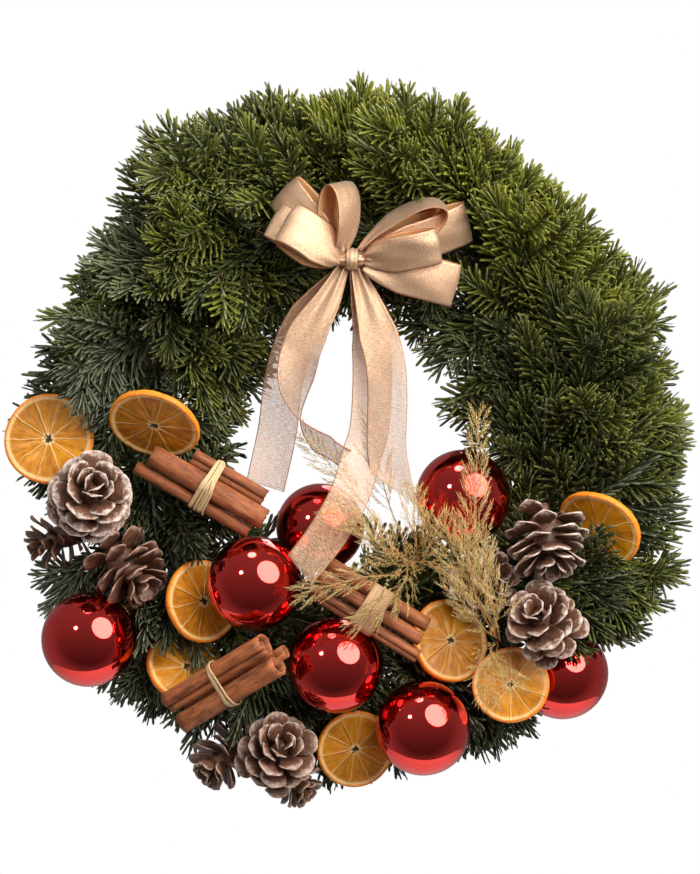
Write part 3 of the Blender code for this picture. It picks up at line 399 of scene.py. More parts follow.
class Graph:
    """Adds nodes to one tree and joins their sockets."""

    def __init__(self, tree):
        self.tree = tree

    def add(self, kind, *values, **settings):
        """A node with its settings and, in order, its inputs; None leaves one as it is."""
        node = self.tree.nodes.new(kind)
        for key, value in settings.items():
            setattr(node, key, value)
        sockets = [socket for socket in node.inputs if socket.enabled]
        for socket, value in zip(sockets, values):
            self.feed(socket, value)
        return node

    def feed(self, socket, value):
        """Give a socket a plain value, or join it to a node or socket."""
        if value is None:
            return
        if isinstance(value, Node):
            value = next(output for output in value.outputs if output.enabled)
        if isinstance(value, NodeSocket):
            self.tree.links.new(value, socket)
        elif socket.type == "RGBA" and len(value) == 3:
            socket.default_value = (*value, 1.0)
        else:
            socket.default_value = value

    def ports(self, inputs, outputs):
        """Make the tree's own sockets; returns its input sockets by name."""
        make = self.tree.interface.new_socket
        for name, kind, *value in inputs:
            socket = make(name, in_out="INPUT", socket_type="NodeSocket" + kind)
            if value:
                socket.default_value = value[0]
        for name, kind in outputs:
            make(name, in_out="OUTPUT", socket_type="NodeSocket" + kind)
        entry = self.tree.nodes.new("NodeGroupInput")
        return {socket.name: socket for socket in entry.outputs if socket.name}

    def close(self, *values):
        """Join the values to the tree's outputs; returns the tree."""
        self.add("NodeGroupOutput", *values)
        return self.tree

    def math(self, operation, *values):
        """One step of arithmetic."""
        return self.add("ShaderNodeMath", *values, operation=operation)

    def times(self, *values):
        """A product."""
        return self.math("MULTIPLY", *values)

    def plus(self, *values):
        """A sum."""
        return self.math("ADD", *values)

    def vector(self, operation, *values):
        """One step of vector arithmetic."""
        return self.add("ShaderNodeVectorMath", *values, operation=operation)

    def named(self, name, kind="FLOAT"):
        """A named attribute in a geometry tree."""
        return self.add("GeometryNodeInputNamedAttribute", name, data_type=kind)

    def random(self, low, high, seed):
        """A random number between two limits."""
        return self.add("FunctionNodeRandomValue", low, high, None, seed, data_type="FLOAT")

    def fit(self, value, *limits):
        """A value carried from one range, low and high, to another, or to nothing and full."""
        return self.add("ShaderNodeMapRange", value, *limits)

    def scaled(self, share, low, high):
        """A share carried to a range."""
        return self.fit(share, 0.0, 1.0, low, high)

    def less(self, first, second):
        """A difference."""
        return self.math("SUBTRACT", first, second)

    def attribute(self, name, output="Fac"):
        """An attribute of the surface in a material."""
        return self.add("ShaderNodeAttribute", attribute_name=name).outputs[output]

    def mix(self, share, first, second, blend_type="MIX"):
        """Two colours mixed."""
        node = self.add(
            "ShaderNodeMix", share, first, second, data_type="RGBA", blend_type=blend_type)
        return next(output for output in node.outputs if output.enabled)

    def ramp(self, value, *stops):
        """A colour ramp, each stop a place and a colour."""
        node = self.add("ShaderNodeValToRGB", value)
        while len(node.color_ramp.elements) < len(stops):
            node.color_ramp.elements.new(1.0)
        for element, (position, colour) in zip(node.color_ramp.elements, stops):
            element.position = position
            element.color = (*colour, 1.0)
        return node.outputs["Color"]

    def grain(self, vector, scale, detail=3.0, roughness=0.55):
        """Soft noise."""
        return self.add("ShaderNodeTexNoise", vector, scale, detail, roughness).outputs["Fac"]

    def bump(self, height, strength, distance):
        """A bumped normal."""
        node = self.add("ShaderNodeBump", strength, distance)
        return self.give(node, Height=height).outputs["Normal"]

    def give(self, node, **values):
        """Feed a node's inputs by name, with underscores for spaces; returns the node."""
        for name, value in values.items():
            self.feed(node.inputs[name.replace("_", " ")], value)
        return node

    def copies(self, points, kept, model, **values):
        """Copies of a model object on the points that are kept, made real."""
        shape = self.add("GeometryNodeObjectInfo", model).outputs["Geometry"]
        copies = self.add("GeometryNodeInstanceOnPoints", points, kept, shape)
        return self.add("GeometryNodeRealizeInstances", self.give(copies, **values))

    def join(self, *parts):
        """Geometry joined and shaded smooth."""
        joined = self.add("GeometryNodeJoinGeometry")
        for part in parts:
            self.feed(joined.inputs[0], part)
        return self.add("GeometryNodeSetShadeSmooth", joined, None, True)

    def group(self, tree, **values):
        """A shader group placed with its own values."""
        return self.give(self.add("ShaderNodeGroup", node_tree=tree), **values)


def new_finish(name, **values):
    """A Principled material with the given plain values, its graph and its shader."""
    material = bpy.data.materials.new(name)
    material.use_nodes = True
    shader = material.node_tree.nodes["Principled BSDF"]
    graph = Graph(material.node_tree)
    graph.give(shader, **values)
    return material, graph, shader


def new_tree(name, kind, inputs, outputs):
    """A new node group's graph, and its input sockets by name."""
    graph = Graph(bpy.data.node_groups.new(name, kind))
    return graph, graph.ports(inputs, outputs)


def fibre_group():
    """Shader group: long streaks of fibre along a surface's first direction."""
    if "Fibre" in bpy.data.node_groups:
        return bpy.data.node_groups["Fibre"]
    graph, entry = new_tree(
        "Fibre", "ShaderNodeTree",
        (("Lie", "Vector"), ("Stretch", "Vector", (40, 900, 900)),
         ("Light", "Color"), ("Dark", "Color")),
        (("Color", "Color"), ("Height", "Float")))
    lie = graph.vector("MULTIPLY", entry["Lie"], entry["Stretch"])
    fine = graph.grain(lie, 1.0, 4.0, 0.6)
    broad = graph.grain(lie, 0.25, 2.0)
    height = graph.plus(graph.times(fine, 0.6), graph.times(broad, 0.4))
    share = graph.fit(height, 0.35, 0.65)
    return graph.close(graph.mix(share, entry["Dark"], entry["Light"]), height)


def mottle_group():
    """Shader group: a colour broken up by soft patches and fine specks."""
    if "Mottle" in bpy.data.node_groups:
        return bpy.data.node_groups["Mottle"]
    graph, entry = new_tree(
        "Mottle", "ShaderNodeTree",
        (("Vector", "Vector"), ("Scale", "Float", 100.0),
         ("Light", "Color"), ("Dark", "Color")),
        (("Color", "Color"), ("Height", "Float")))
    scaled = graph.give(graph.vector("SCALE", entry["Vector"]), Scale=entry["Scale"])
    patches = graph.grain(scaled, 1.0, 3.0)
    specks = graph.grain(scaled, 7.0, 2.0, 0.7)
    height = graph.plus(graph.times(patches, 0.65), graph.times(specks, 0.35))
    share = graph.fit(height, 0.36, 0.64)
    return graph.close(graph.mix(share, entry["Dark"], entry["Light"]), height)


def object_place(graph):
    """Object coordinates in a material."""
    return graph.add("ShaderNodeTexCoord").outputs["Object"]


def mottled_finish(name, light, dark, scale, **values):
    """A finish in soft patches of two colours, with its graph, shader and mottle."""
    material, graph, shader = new_finish(name, **values)
    mottle = graph.group(mottle_group(), Vector=object_place(graph), Scale=scale,
            Light=light, Dark=dark)
    graph.give(shader, Base_Color=mottle.outputs["Color"])
    return material, graph, shader, mottle


def fibrous_finish(name, stretch, light, dark, ridge, **values):
    """A finish in long fibres of two colours, with its graph, shader and colour."""
    material, graph, shader = new_finish(name, **values)
    fibre = graph.group(fibre_group(), Lie=graph.attribute("lie", "Vector"), Stretch=stretch,
            Light=light, Dark=dark)
    graph.give(shader, Base_Color=fibre.outputs["Color"],
            Normal=graph.bump(fibre.outputs["Height"], 0.5, ridge))
    return material, graph, shader, fibre.outputs["Color"]


def darker(colour, share):
    """A colour at a share of its strength."""
    return tuple(part * share for part in colour)


def grown(name, source, tree, values):
    """The plain mesh that a geometry tree makes of a source mesh."""
    holder = new_object(name, source)
    modifier = holder.modifiers.new(name, "NODES")
    modifier.node_group = tree
    for item in tree.interface.items_tree:
        if item.in_out == "INPUT" and item.name in values:
            modifier[item.identifier] = values[item.name]
    depsgraph = bpy.context.evaluated_depsgraph_get()
    mesh = bpy.data.meshes.new_from_object(
        holder.evaluated_get(depsgraph), preserve_all_data_layers=True, depsgraph=depsgraph)
    holder.modifiers.remove(modifier)
    holder.data = mesh
    mesh.name = name
    bpy.data.meshes.remove(source)
    return holder


def strand_mesh(name, strands):
    """Loose edges along strands: each has its points and a dict of values for a point."""
    mesh = bpy.data.meshes.new(name)
    points, edges = [], []
    values = {}
    for path, facts in strands:
        first = len(points)
        points += path
        edges += [(first + step, first + step + 1) for step in range(len(path) - 1)]
        for key, value in facts.items():
            row = values.setdefault(key, [])
            row += value if isinstance(value, list) else [value] * len(path)
    mesh.from_pydata(points, edges, [])
    for key, row in values.items():
        store(mesh, key, row)
    return mesh


def remove_models(*items):
    """Take away the small models once their copies are in the pieces."""
    for item in items:
        bpy.data.objects.remove(item, do_unlink=True)


def frames(path, closed=False, hint=None):
    """Tangent and two cross directions at each point of a path, near a hint or untwisted."""
    count = len(path)
    normal = None
    result = []
    for index, point in enumerate(path):
        before = path[index - 1] if index or closed else point
        after = path[(index + 1) % count] if index < count - 1 or closed else point
        tangent = (after - before).normalized()
        start = hint or normal or tangent.orthogonal()
        normal = (start - tangent * start.dot(tangent)).normalized()
        result.append((tangent, normal, tangent.cross(normal)))
    return result


def sweep(surface, path, outline, closed=False, hint=None, shade=0.0):
    """Carry an outline, given for each share of the way, along a path."""
    rows = []
    travelled = 0.0
    for index, (point, (_, side, lift)) in enumerate(zip(path, frames(path, closed, hint))):
        if index:
            travelled += (point - path[index - 1]).length
        rows.append([surface.add(point + side * x + lift * y, lie=(travelled, x, y), shade=shade)
                for x, y in outline(index / (len(path) - 1))])
    surface.skin(rows, closed_round=True, closed_along=closed)
    if not closed:
        surface.faces += [tuple(rows[0]), tuple(rows[-1])]


def oval(width, height, sides=8):
    """Outline of an oval, the same all the way."""
    points = [(width * cos(angle), height * sin(angle)) for angle in angles(sides)]
    return lambda _: points


def turned(profile, sides, crimps=1):
    """A turned shape from radii, heights and crimp depths; a radius of nothing is a pole."""
    surface = Surface()
    rows = []
    for radius, height, depth in profile:
        if radius == 0:
            rows.append([surface.add(Vector((0, 0, height)))])
            continue
        row = []
        for angle in angles(sides):
            reach = radius * (1 + depth * cos(angle * crimps))
            row.append(surface.add(polar(reach, angle, height)))
        rows.append(row)
    surface.skin(rows, closed_round=True)
    return surface


def length(name, description, default):
    """A length setting."""
    return FloatProperty(name=name, description=description, default=default,
            min=0.0, unit="LENGTH")


def whole(name, description, default):
    """A whole number as a setting."""
    return IntProperty(name=name, description=description, default=default)


def share(name, description, default):
    """A setting from nothing to full."""
    return FloatProperty(name=name, description=description, default=default,
            min=0.0, max=1.0, subtype="FACTOR")


def colour(name, description, default):
    """A colour setting."""
    return FloatVectorProperty(name=name, description=description, default=default,
            size=3, min=0.0, max=1.0, subtype="COLOR")


class WreathFir(PropertyGroup):
    """Sizes and colours of the fir."""

    needle_length: length("Needle length", "Length of a full-grown needle", 0.0195)
    needle_width: length("Needle width", "Width of a needle's flat side", 0.0027)
    needle_spacing: length("Needle spacing", "Distance along a twig between needles", 0.00091)
    shoot_spacing: length("Shoot spacing", "Distance along a spray between pairs of shoots", 0.021)
    seed: whole("Seed", "Seed of every random draw in the fir", 7)
    dark: colour("Shaded green", "Old needles in the shade", (0.020, 0.029, 0.010))
    green: colour("Green", "Needles of most sprays", (0.074, 0.092, 0.015))
    # Painted light: this green goes to the sprays that the key light falls on most, as well as to
    # young growth.
    young_and_lit: colour("Young green", "Needles of the brightest sprays", (0.185, 0.212, 0.024))
    under: colour("Underside", "Pale underside of a needle", (0.190, 0.225, 0.160))


def side_paths(axis, settings, draw):
    """Shoots that fork off a spray's axis, to both sides and to the front."""
    lengths = [(end - start).length for start, end in zip(axis, axis[1:])]
    total = sum(lengths)
    roll = draw.uniform(-0.5, 0.5)
    distance = max(FIRST_FORK * total, FIRST_FORK_LEAST)
    shoots = []
    while distance < total - LAST_FORK:
        point, along = place_on(axis, lengths, distance)
        normal = (FRONT - along * along.dot(FRONT)).normalized()
        across = along.cross(normal)
        normal, across = (normal * cos(roll) + across * sin(roll),
                across * cos(roll) - normal * sin(roll))
        size = clamp((total - distance) * 0.8 + 0.014, SHOOT_SHORTEST, SHOOT_LONGEST)
        for side in (-1, 1):
            rise = draw.uniform(-0.12, 0.38)
            aim = (along * 0.72 + across * side * 0.72 + normal * rise).normalized()
            shoots.append(bowed(point, aim, along, size * draw.uniform(0.8, 1.1)))
        if draw.random() < FRONT_SHOOT_CHANCE:
            aim = (along * 0.6 + normal * 0.9 + across * draw.uniform(-0.4, 0.4)).normalized()
            shoots.append(bowed(point, aim, along, size * draw.uniform(0.6, 0.85)))
        distance += settings.shoot_spacing * draw.uniform(0.85, 1.15)
    return shoots


def place_on(path, lengths, distance):
    """Point of a path at a distance from its start, and the path's direction there."""
    for start, end, size in zip(path, path[1:], lengths):
        if distance <= size:
            return start.lerp(end, distance / size), (end - start).normalized()
        distance -= size
    return path[-1].copy(), (path[-1] - path[-2]).normalized()


def bowed(start, aim, along, size):
    """A shoot that leaves along its aim and bends towards the twig's direction."""
    steps = 6
    points = [start]
    for step in range(steps):
        way = aim.lerp(along, 0.4 * step / steps).normalized()
        points.append(points[-1] + way * size / steps)
    return points


def in_the_hole(point, room):
    """True inside the open way through the wreath, made larger by some room."""
    right = (point.x - RING_MIDDLE.x) / MM - HOLE[0]
    up = (point.z - RING_MIDDLE.z) / MM - HOLE[1]
    return (right / (HOLE[2] + room)) ** 2 + (up / (HOLE[3] + room)) ** 2 < 1


def past_the_edge(point, room):
    """True nearer to the wreath's outline than the room, or past it."""
    right, up = point.x / MM, (point.z - RING_MIDDLE.z) / MM
    place_in = atan2(up, right) % tau / tau * len(REACH)
    first = int(place_in) % len(REACH)
    edge = blend(REACH[first], REACH[(first + 1) % len(REACH)], place_in % 1)
    return hypot(right, up) > edge - room


def clear_part(path, tree, room, edge_room):
    """The part of a path that is clear of the decoration, the hole, the outline and the door."""
    kept = [path[0]]
    for start, end in zip(path, path[1:]):
        step = end - start
        near = tree.find_nearest(end)[3] < room
        if near or tree.ray_cast(start, step.normalized(), step.length)[0]:
            break
        if in_the_hole(end, HOLE_ROOM) or past_the_edge(end, edge_room) or -end.y < DOOR_ROOM:
            break
        kept.append(end)
    return kept


def spray_axis(right, up, out, root_degrees):
    """A spray's axis from the stem over the ring's shoulder to its tip."""
    root_angle = radians(root_degrees)
    tip_angle = atan2(up, right)
    reach = hypot(right, up) - RING_RADIUS
    across = copysign(min(abs(reach) * 0.45, 26), reach)
    turn = root_angle + remainder(tip_angle - root_angle, tau) * 0.35
    root = on_ring(root_angle, 0, STEM_DEPTH)
    shoulder = on_ring(turn, across, STEM_DEPTH + 4 + max(0, out - 50) * 0.5)
    tip = place(right, up, out)
    tip += (tip - shoulder).normalized() * (10 if reach > 30 else -9) * MM
    return [root.lerp(shoulder, part).lerp(shoulder.lerp(tip, part), part) for part in shares(14)]


def filler_paths(bunch, draw):
    """Short shoots all along a bunch's stem that close the foliage over the ring."""
    paths = []
    for step in range(FILLERS):
        angle = tau * (bunch - 1 + (step + draw.uniform(0.1, 0.9)) / FILLERS) / len(SPRAYS)
        across = (-1.0, 0.9, -0.3, 0.5)[step % 4] + draw.uniform(-0.2, 0.2)
        start = on_ring(angle, across * 9, 27 + 6 * (1 - across ** 2))
        around = (on_ring(angle + 0.05, 0, 0) - on_ring(angle, 0, 0)).normalized()
        outward = (on_ring(angle, 10, 0) - on_ring(angle, 0, 0)).normalized()
        aim = around * draw.uniform(0.2, 0.9) + outward * across + FRONT * draw.uniform(0.1, 0.8)
        size = draw.uniform(0.048, 0.070) * (0.75 if across < -0.3 else 1)
        paths.append(bowed(start, aim.normalized(), around, size))
    return paths


def bunch_twigs(bunch, settings, tree):
    """Every twig of one bunch, with its girth, vigour and a brightness that is partly painted
    light, at each point.
    """
    strands = []
    stem = [on_ring(tau * (bunch - 1 + 0.03 + 0.94 * step / 8) / len(SPRAYS), 0, STEM_DEPTH)
            for step in range(9)]
    bare = dict.fromkeys(("reach", "light_and_tone", "blue", "vigour"), 0.0)
    strands.append((stem, {"face": FRONT, "girth": STEM_GIRTH * MM, **bare}))
    for number, spray in enumerate(SPRAYS[bunch]):
        draw = random.Random(settings.seed + 100 * bunch + number)
        axis = spray_axis(*spray)
        # Painted light: sprays higher up and further right are brighter, where the key light falls
        # from the upper right; the random part is each spray's own colour.
        light_and_tone = clamp(0.34 + spray[1] / 700 + spray[0] / 3000 + draw.uniform(-0.24, 0.24))
        blue = clamp(0.44 - spray[0] / 420 - spray[1] / 700 - light_and_tone * 0.3 + draw.uniform(-0.3, 0.4))
        axis = clear_part(axis, tree, SPRAY_ROOM, draw.uniform(*SPRAY_EDGE_ROOM))
        if len(axis) < 5:
            continue
        strands.append(twig(axis, SPRAY_GIRTH, light_and_tone, blue, 1.0, draw))
        for path in side_paths(axis, settings, draw):
            path = clear_part(path, tree, SHOOT_ROOM, draw.uniform(*SHOOT_EDGE_ROOM))
            if len(path) > 3:
                strands.append(twig(path, SHOOT_GIRTH, light_and_tone, blue, 0.95, draw))
    for path in filler_paths(bunch, draw):
        path = clear_part(path, tree, SHOOT_ROOM, FILLER_EDGE_ROOM)
        if len(path) > 3:
            # Painted light: fillers that end higher up are brighter, as if lit from above.
            light_and_tone = clamp(0.2 + (path[-1].z - RING_MIDDLE.z) / 0.9 + draw.uniform(-0.15, 0.2))
            blue = draw.uniform(0.1, 0.6)
            strands.append(twig(path, FILLER_GIRTH, light_and_tone, blue, 0.95, draw))
    return strands


def twig(path, girth, light_and_tone, blue, vigour, draw):
    """One twig as a strand: thinner and younger to its tip."""
    reach = shares(len(path) - 1)
    # The twig's brightness: its spray's painted light, with a little of its own.
    shade = clamp(light_and_tone + draw.uniform(-0.2, 0.2))
    middle = path[(len(path) - 1) // 2]
    away = middle - on_ring(atan2(middle.z - RING_MIDDLE.z, middle.x), 0, STEM_DEPTH)
    face = FRONT + away.normalized() * 0.5 + Vector([draw.uniform(-0.45, 0.45) for _ in range(3)])
    return path, {"face": face,
        "girth": [girth * MM * (1 - 0.55 * step) for step in reach], "reach": reach,
        "light_and_tone": shade, "blue": blue, "vigour": [vigour * min(1, 0.7 + step * 3) for step in reach]}


def needle_model(settings):
    """One needle of unit length: flat below, ridged above, blunt, and bent to its tip."""
    half = settings.needle_width / settings.needle_length / 2
    surface = Surface()
    rows = []
    for along, width, rise in ((0, 0.5, 0), (0.4, 1.0, 0.05), (0.91, 0.86, 0.23)):
        rows.append([surface.add(Vector((-half * width, rise, along)), along=along, under=1.0),
                surface.add(Vector((0, rise + half * 0.6 * width, along)), along=along, under=0.0),
                surface.add(Vector((half * width, rise, along)), along=along, under=1.0)])
    rows.append([surface.add(Vector((0, 0.26, 1.0)), along=1.0, under=0.5)])
    surface.skin(rows, closed_round=True)
    return new_object("needle_model", surface.mesh("needle_model"))


def bud_model():
    """One winter bud, as a pointed egg one unit long."""
    surface = Surface()
    rows = []
    for along, width in ((0, 0.18), (0.3, 0.30), (0.7, 0.22)):
        rows.append([surface.add(polar(width, angle, along)) for angle in angles(5)])
    surface.skin(rows, closed_round=True)
    tip = surface.add(Vector((0, 0, 1)))
    surface.faces += [(rows[-1][side], rows[-1][(side + 1) % 5], tip) for side in range(5)]
    return new_object("bud_model", surface.mesh("bud_model"))


def needle_tree():
    """Geometry tree: needles, bark and buds along every twig of a bunch."""
    graph, entry = new_tree(
        "Fir needles", "GeometryNodeTree",
        (("Twigs", "Geometry"), ("Needle", "Object"),
         ("Bud", "Object"), ("Obstacles", "Object"),
         ("Needle Length", "Float", 0.016), ("Needle Spacing", "Float", 0.0006),
         ("Lean", "Float", 0.96), ("Lean at Tip", "Float", 0.34),
         ("Lowest Rank", "Float", -0.2), ("Rank Step", "Float", 0.55),
         ("Bark Sides", "Int", 4),
         ("Bud Length", "Float", 0.0036), ("Seed", "Int", 0),
         ("Needle Finish", "Material"), ("Bark Finish", "Material"),
         ("Bud Finish", "Material")),
        (("Bunch", "Geometry"),))
    curve = graph.add("GeometryNodeMeshToCurve", entry["Twigs"])
    points = graph.add("GeometryNodeCurveToPoints", curve, entry["Needle Spacing"], mode="LENGTH")
    reach = graph.named("reach")
    number = graph.add("GeometryNodeInputIndex")
    side = graph.scaled(graph.math("FLOORED_MODULO", number, 2.0), -1.0, 1.0)
    rank = graph.math("FLOORED_MODULO", graph.math("FLOOR", graph.math("DIVIDE", number, 2.0)), 3.0)
    rise = graph.plus(graph.plus(entry["Lowest Rank"], graph.times(rank, entry["Rank Step"])),
            graph.random(-0.2, 0.2, entry["Seed"]))
    roll = graph.times(side, graph.plus(pi / 2, rise))
    twist = graph.times(side, graph.times(0.8, graph.less(rise, pi / 2)))
    lean = graph.scaled(graph.math("POWER", reach, 2.5), entry["Lean"], entry["Lean at Tip"])
    lean = graph.plus(lean, graph.random(-0.14, 0.14, graph.plus(entry["Seed"], 1)))
    align = "FunctionNodeAlignRotationToVector"
    turned = graph.add(align, None, None, points.outputs["Tangent"], axis="Z")
    turned = graph.add(align, turned, None, graph.named("face", "FLOAT_VECTOR"),
            axis="Y", pivot_axis="Z")
    for euler in ((None, None, roll), (lean, None, None), (None, None, twist)):
        step = graph.add("FunctionNodeEulerToRotation", graph.add("ShaderNodeCombineXYZ", *euler))
        turned = graph.add("FunctionNodeRotateRotation", turned, step, rotation_space="LOCAL")
    size = graph.times(graph.times(graph.named("vigour"), entry["Needle Length"]),
            graph.random(0.86, 1.06, graph.plus(entry["Seed"], 2)))
    size = graph.times(size, graph.fit(reach, 0.7, 1.0, 1.0, 0.78))
    aim = graph.add("FunctionNodeRotateVector", (0, 0, 1), turned)
    position = graph.add("GeometryNodeInputPosition")
    start = graph.vector("ADD", position, graph.vector("MULTIPLY", aim, (MM, MM, MM)))
    obstacle = graph.add("GeometryNodeObjectInfo", entry["Obstacles"], transform_space="ORIGINAL")
    ray = graph.add("GeometryNodeRaycast", obstacle.outputs["Geometry"])
    graph.give(ray, Source_Position=start, Ray_Direction=aim, Ray_Length=size)
    reached = graph.add("ShaderNodeCombineXYZ", size, size, size)
    tip = graph.vector("ADD", position, graph.vector("MULTIPLY", aim, reached))
    depth = graph.add("ShaderNodeSeparateXYZ", tip).outputs["Y"]
    free = graph.add("FunctionNodeBooleanMath", ray.outputs["Is Hit"], operation="NOT")
    kept = free
    for value, limit, operation in ((depth, -1.5 * MM, "LESS_THAN"), (size, MM, "GREATER_THAN")):
        test = graph.add("FunctionNodeCompare", value, limit, data_type="FLOAT",
                operation=operation)
        kept = graph.add("FunctionNodeBooleanMath", kept, test, operation="AND")
    cloud = graph.add("GeometryNodeStoreNamedAttribute", points.outputs["Points"], None, "hue",
            graph.random(0.0, 1.0, graph.plus(entry["Seed"], 3)), domain="POINT")
    needles = graph.copies(cloud, kept, entry["Needle"], Rotation=turned, Scale=reached)
    needles = graph.add("GeometryNodeSetMaterial", needles, None, entry["Needle Finish"])
    profile = graph.add("GeometryNodeCurvePrimitiveCircle", entry["Bark Sides"], 1.0)
    bark = graph.add("GeometryNodeCurveToMesh", curve, profile, graph.named("girth"), True)
    bark = graph.add("GeometryNodeSetMaterial", bark, None, entry["Bark Finish"])
    ends = graph.add("GeometryNodeCurveEndpointSelection", 0, 1)
    tangent = graph.add("GeometryNodeInputTangent")
    buds = graph.copies(curve, ends, entry["Bud"],
            Rotation=graph.add(align, None, None, tangent, axis="Z"),
            Scale=graph.add("ShaderNodeCombineXYZ", *[entry["Bud Length"]] * 3))
    buds = graph.add("GeometryNodeSetMaterial", buds, None, entry["Bud Finish"])
    return graph.close(graph.join(needles, bark, buds))


def needle_finish(settings):
    """Waxy needles: from shaded to young green by spray, brighter with painted light, darker near
    the twig with painted shade, pale below, yellow at the tip.
    """
    material, graph, shader = new_finish("Fir needles", Roughness=0.42)
    light_and_tone, hue = graph.attribute("light_and_tone"), graph.attribute("hue")
    mixed = graph.plus(light_and_tone, graph.times(graph.less(hue, 0.5), 0.3))
    # Painted light: the brighter sprays, up and to the right, take the young green and yellower
    # tips; the rest of the spread is the sprays' own colour.
    green = graph.ramp(mixed, (0.1, settings.dark), (0.45, settings.green), (0.9, settings.young_and_lit))
    tip = graph.times(graph.fit(graph.attribute("along"), 0.7, 1.0, 0.0, 0.42), light_and_tone)
    green = graph.mix(tip, green, (0.36, 0.30, 0.06))
    # Painted shade: each needle darkens to the shaded green at its root, near the twig, where the
    # needles shade each other.
    root = graph.fit(graph.attribute("along"), 0.0, 0.25, 0.35, 0.0)
    green = graph.mix(root, green, settings.dark)
    below = graph.fit(graph.attribute("under"), 0.82, 1.0, 0.0, 0.8)
    wax = graph.fit(graph.attribute("blue"), 0.62, 0.95, 0.0, 0.4)
    below = graph.times(below, graph.scaled(graph.attribute("blue"), 0.25, 1.0))
    green = graph.mix(graph.math("MAXIMUM", wax, below), green, settings.under)
    mottle = graph.group(mottle_group(), Vector=object_place(graph), Scale=160.0,
            Light=(1.2, 1.15, 1.0), Dark=(0.72, 0.78, 0.8))
    green = graph.mix(1.0, green, mottle.outputs["Color"], "MULTIPLY")
    graph.give(shader, Base_Color=green)
    return material


def bark_finish():
    """Twig bark, olive to brown."""
    material, graph, shader, mottle = mottled_finish(
        "Fir bark", (0.16, 0.11, 0.055), (0.05, 0.035, 0.02), 420.0, Roughness=0.8)
    graph.give(shader, Normal=graph.bump(mottle.outputs["Height"], 0.5, 0.0006))
    return material


def bud_finish():
    """Resinous red-brown buds."""
    return mottled_finish(
        "Fir buds", (0.26, 0.12, 0.05), (0.12, 0.05, 0.02), 500.0, Roughness=0.45)[0]


def obstacle_object(*kinds):
    """The solids that needles, shoots and spikelets keep clear of, in one object."""
    shape = bmesh.new()
    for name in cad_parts:
        if name.startswith(kinds):
            shape.from_mesh(bpy.data.objects[name].data)
    solid = bpy.data.meshes.new("obstacles")
    shape.to_mesh(solid)
    shape.free()
    return new_object("obstacles", solid)


class WREATH_OT_fir(Operator):
    """Grow the fir bunches with all their needles, bark and buds"""

    bl_idname = "wreath.fir"
    bl_label = "Fir"

    def execute(self, context):
        settings = context.scene.wreath_fir
        obstacles = obstacle_object("bauble", "orange", "pine", "cinnamon", "raffia", "bow")
        search = BVHTree.FromPolygons([corner.co for corner in obstacles.data.vertices],
                [face.vertices for face in obstacles.data.polygons])
        needle, bud = needle_model(settings), bud_model()
        tree = needle_tree()
        finishes = {"Needle Finish": needle_finish(settings), "Bark Finish": bark_finish(),
                "Bud Finish": bud_finish()}
        for bunch in SPRAYS:
            twigs = strand_mesh("twigs", bunch_twigs(bunch, settings, search))
            piece = grown(f"fir_{bunch}", twigs, tree, {
                "Needle": needle, "Bud": bud, "Obstacles": obstacles,
                "Needle Length": settings.needle_length,
                "Needle Spacing": settings.needle_spacing, "Seed": settings.seed + bunch * 10,
                **finishes})
            hand_over(piece, f"fir_bunch_{bunch}")
        remove_models(needle, bud, obstacles)
        return {"FINISHED"}


class WreathRing(PropertyGroup):
    """The straw ring, the binding wire and the hanger."""

    strands: whole("Straws", "Loose straws on the ring", 420)
    straw: colour("Straw", "Dry straw in the light", (0.62, 0.45, 0.20))
    seed: whole("Seed", "Seed of the straws' places", 3)


def straw_finish(settings):
    """Dry straw with streaks along it."""
    material, graph, shader, shown = fibrous_finish(
        "Straw", (60, 1500, 1500), settings.straw, darker(settings.straw, 0.4), 0.0006,
        Roughness=0.6)
    shade = graph.ramp(graph.attribute("shade"), (0.0, (1, 1, 1)), (1.0, (0.55, 0.48, 0.36)))
    graph.give(shader, Base_Color=graph.mix(1.0, shown, shade, "MULTIPLY"))
    return material


def wire_finish(name, light, dark, metallic, roughness):
    """Wire with a worn surface."""
    material, graph, shader, mottle = mottled_finish(name, light, dark, 900.0, Metallic=metallic)
    worn = graph.fit(mottle.outputs["Height"], 0.3, 0.7, roughness + 0.15, roughness)
    graph.give(shader, Roughness=worn)
    return material


def ring_section(across):
    """How far the straw ring stands out from the door across its width, both as shares."""
    return sqrt(max(0.0, 1 - across ** 2)) ** 0.9


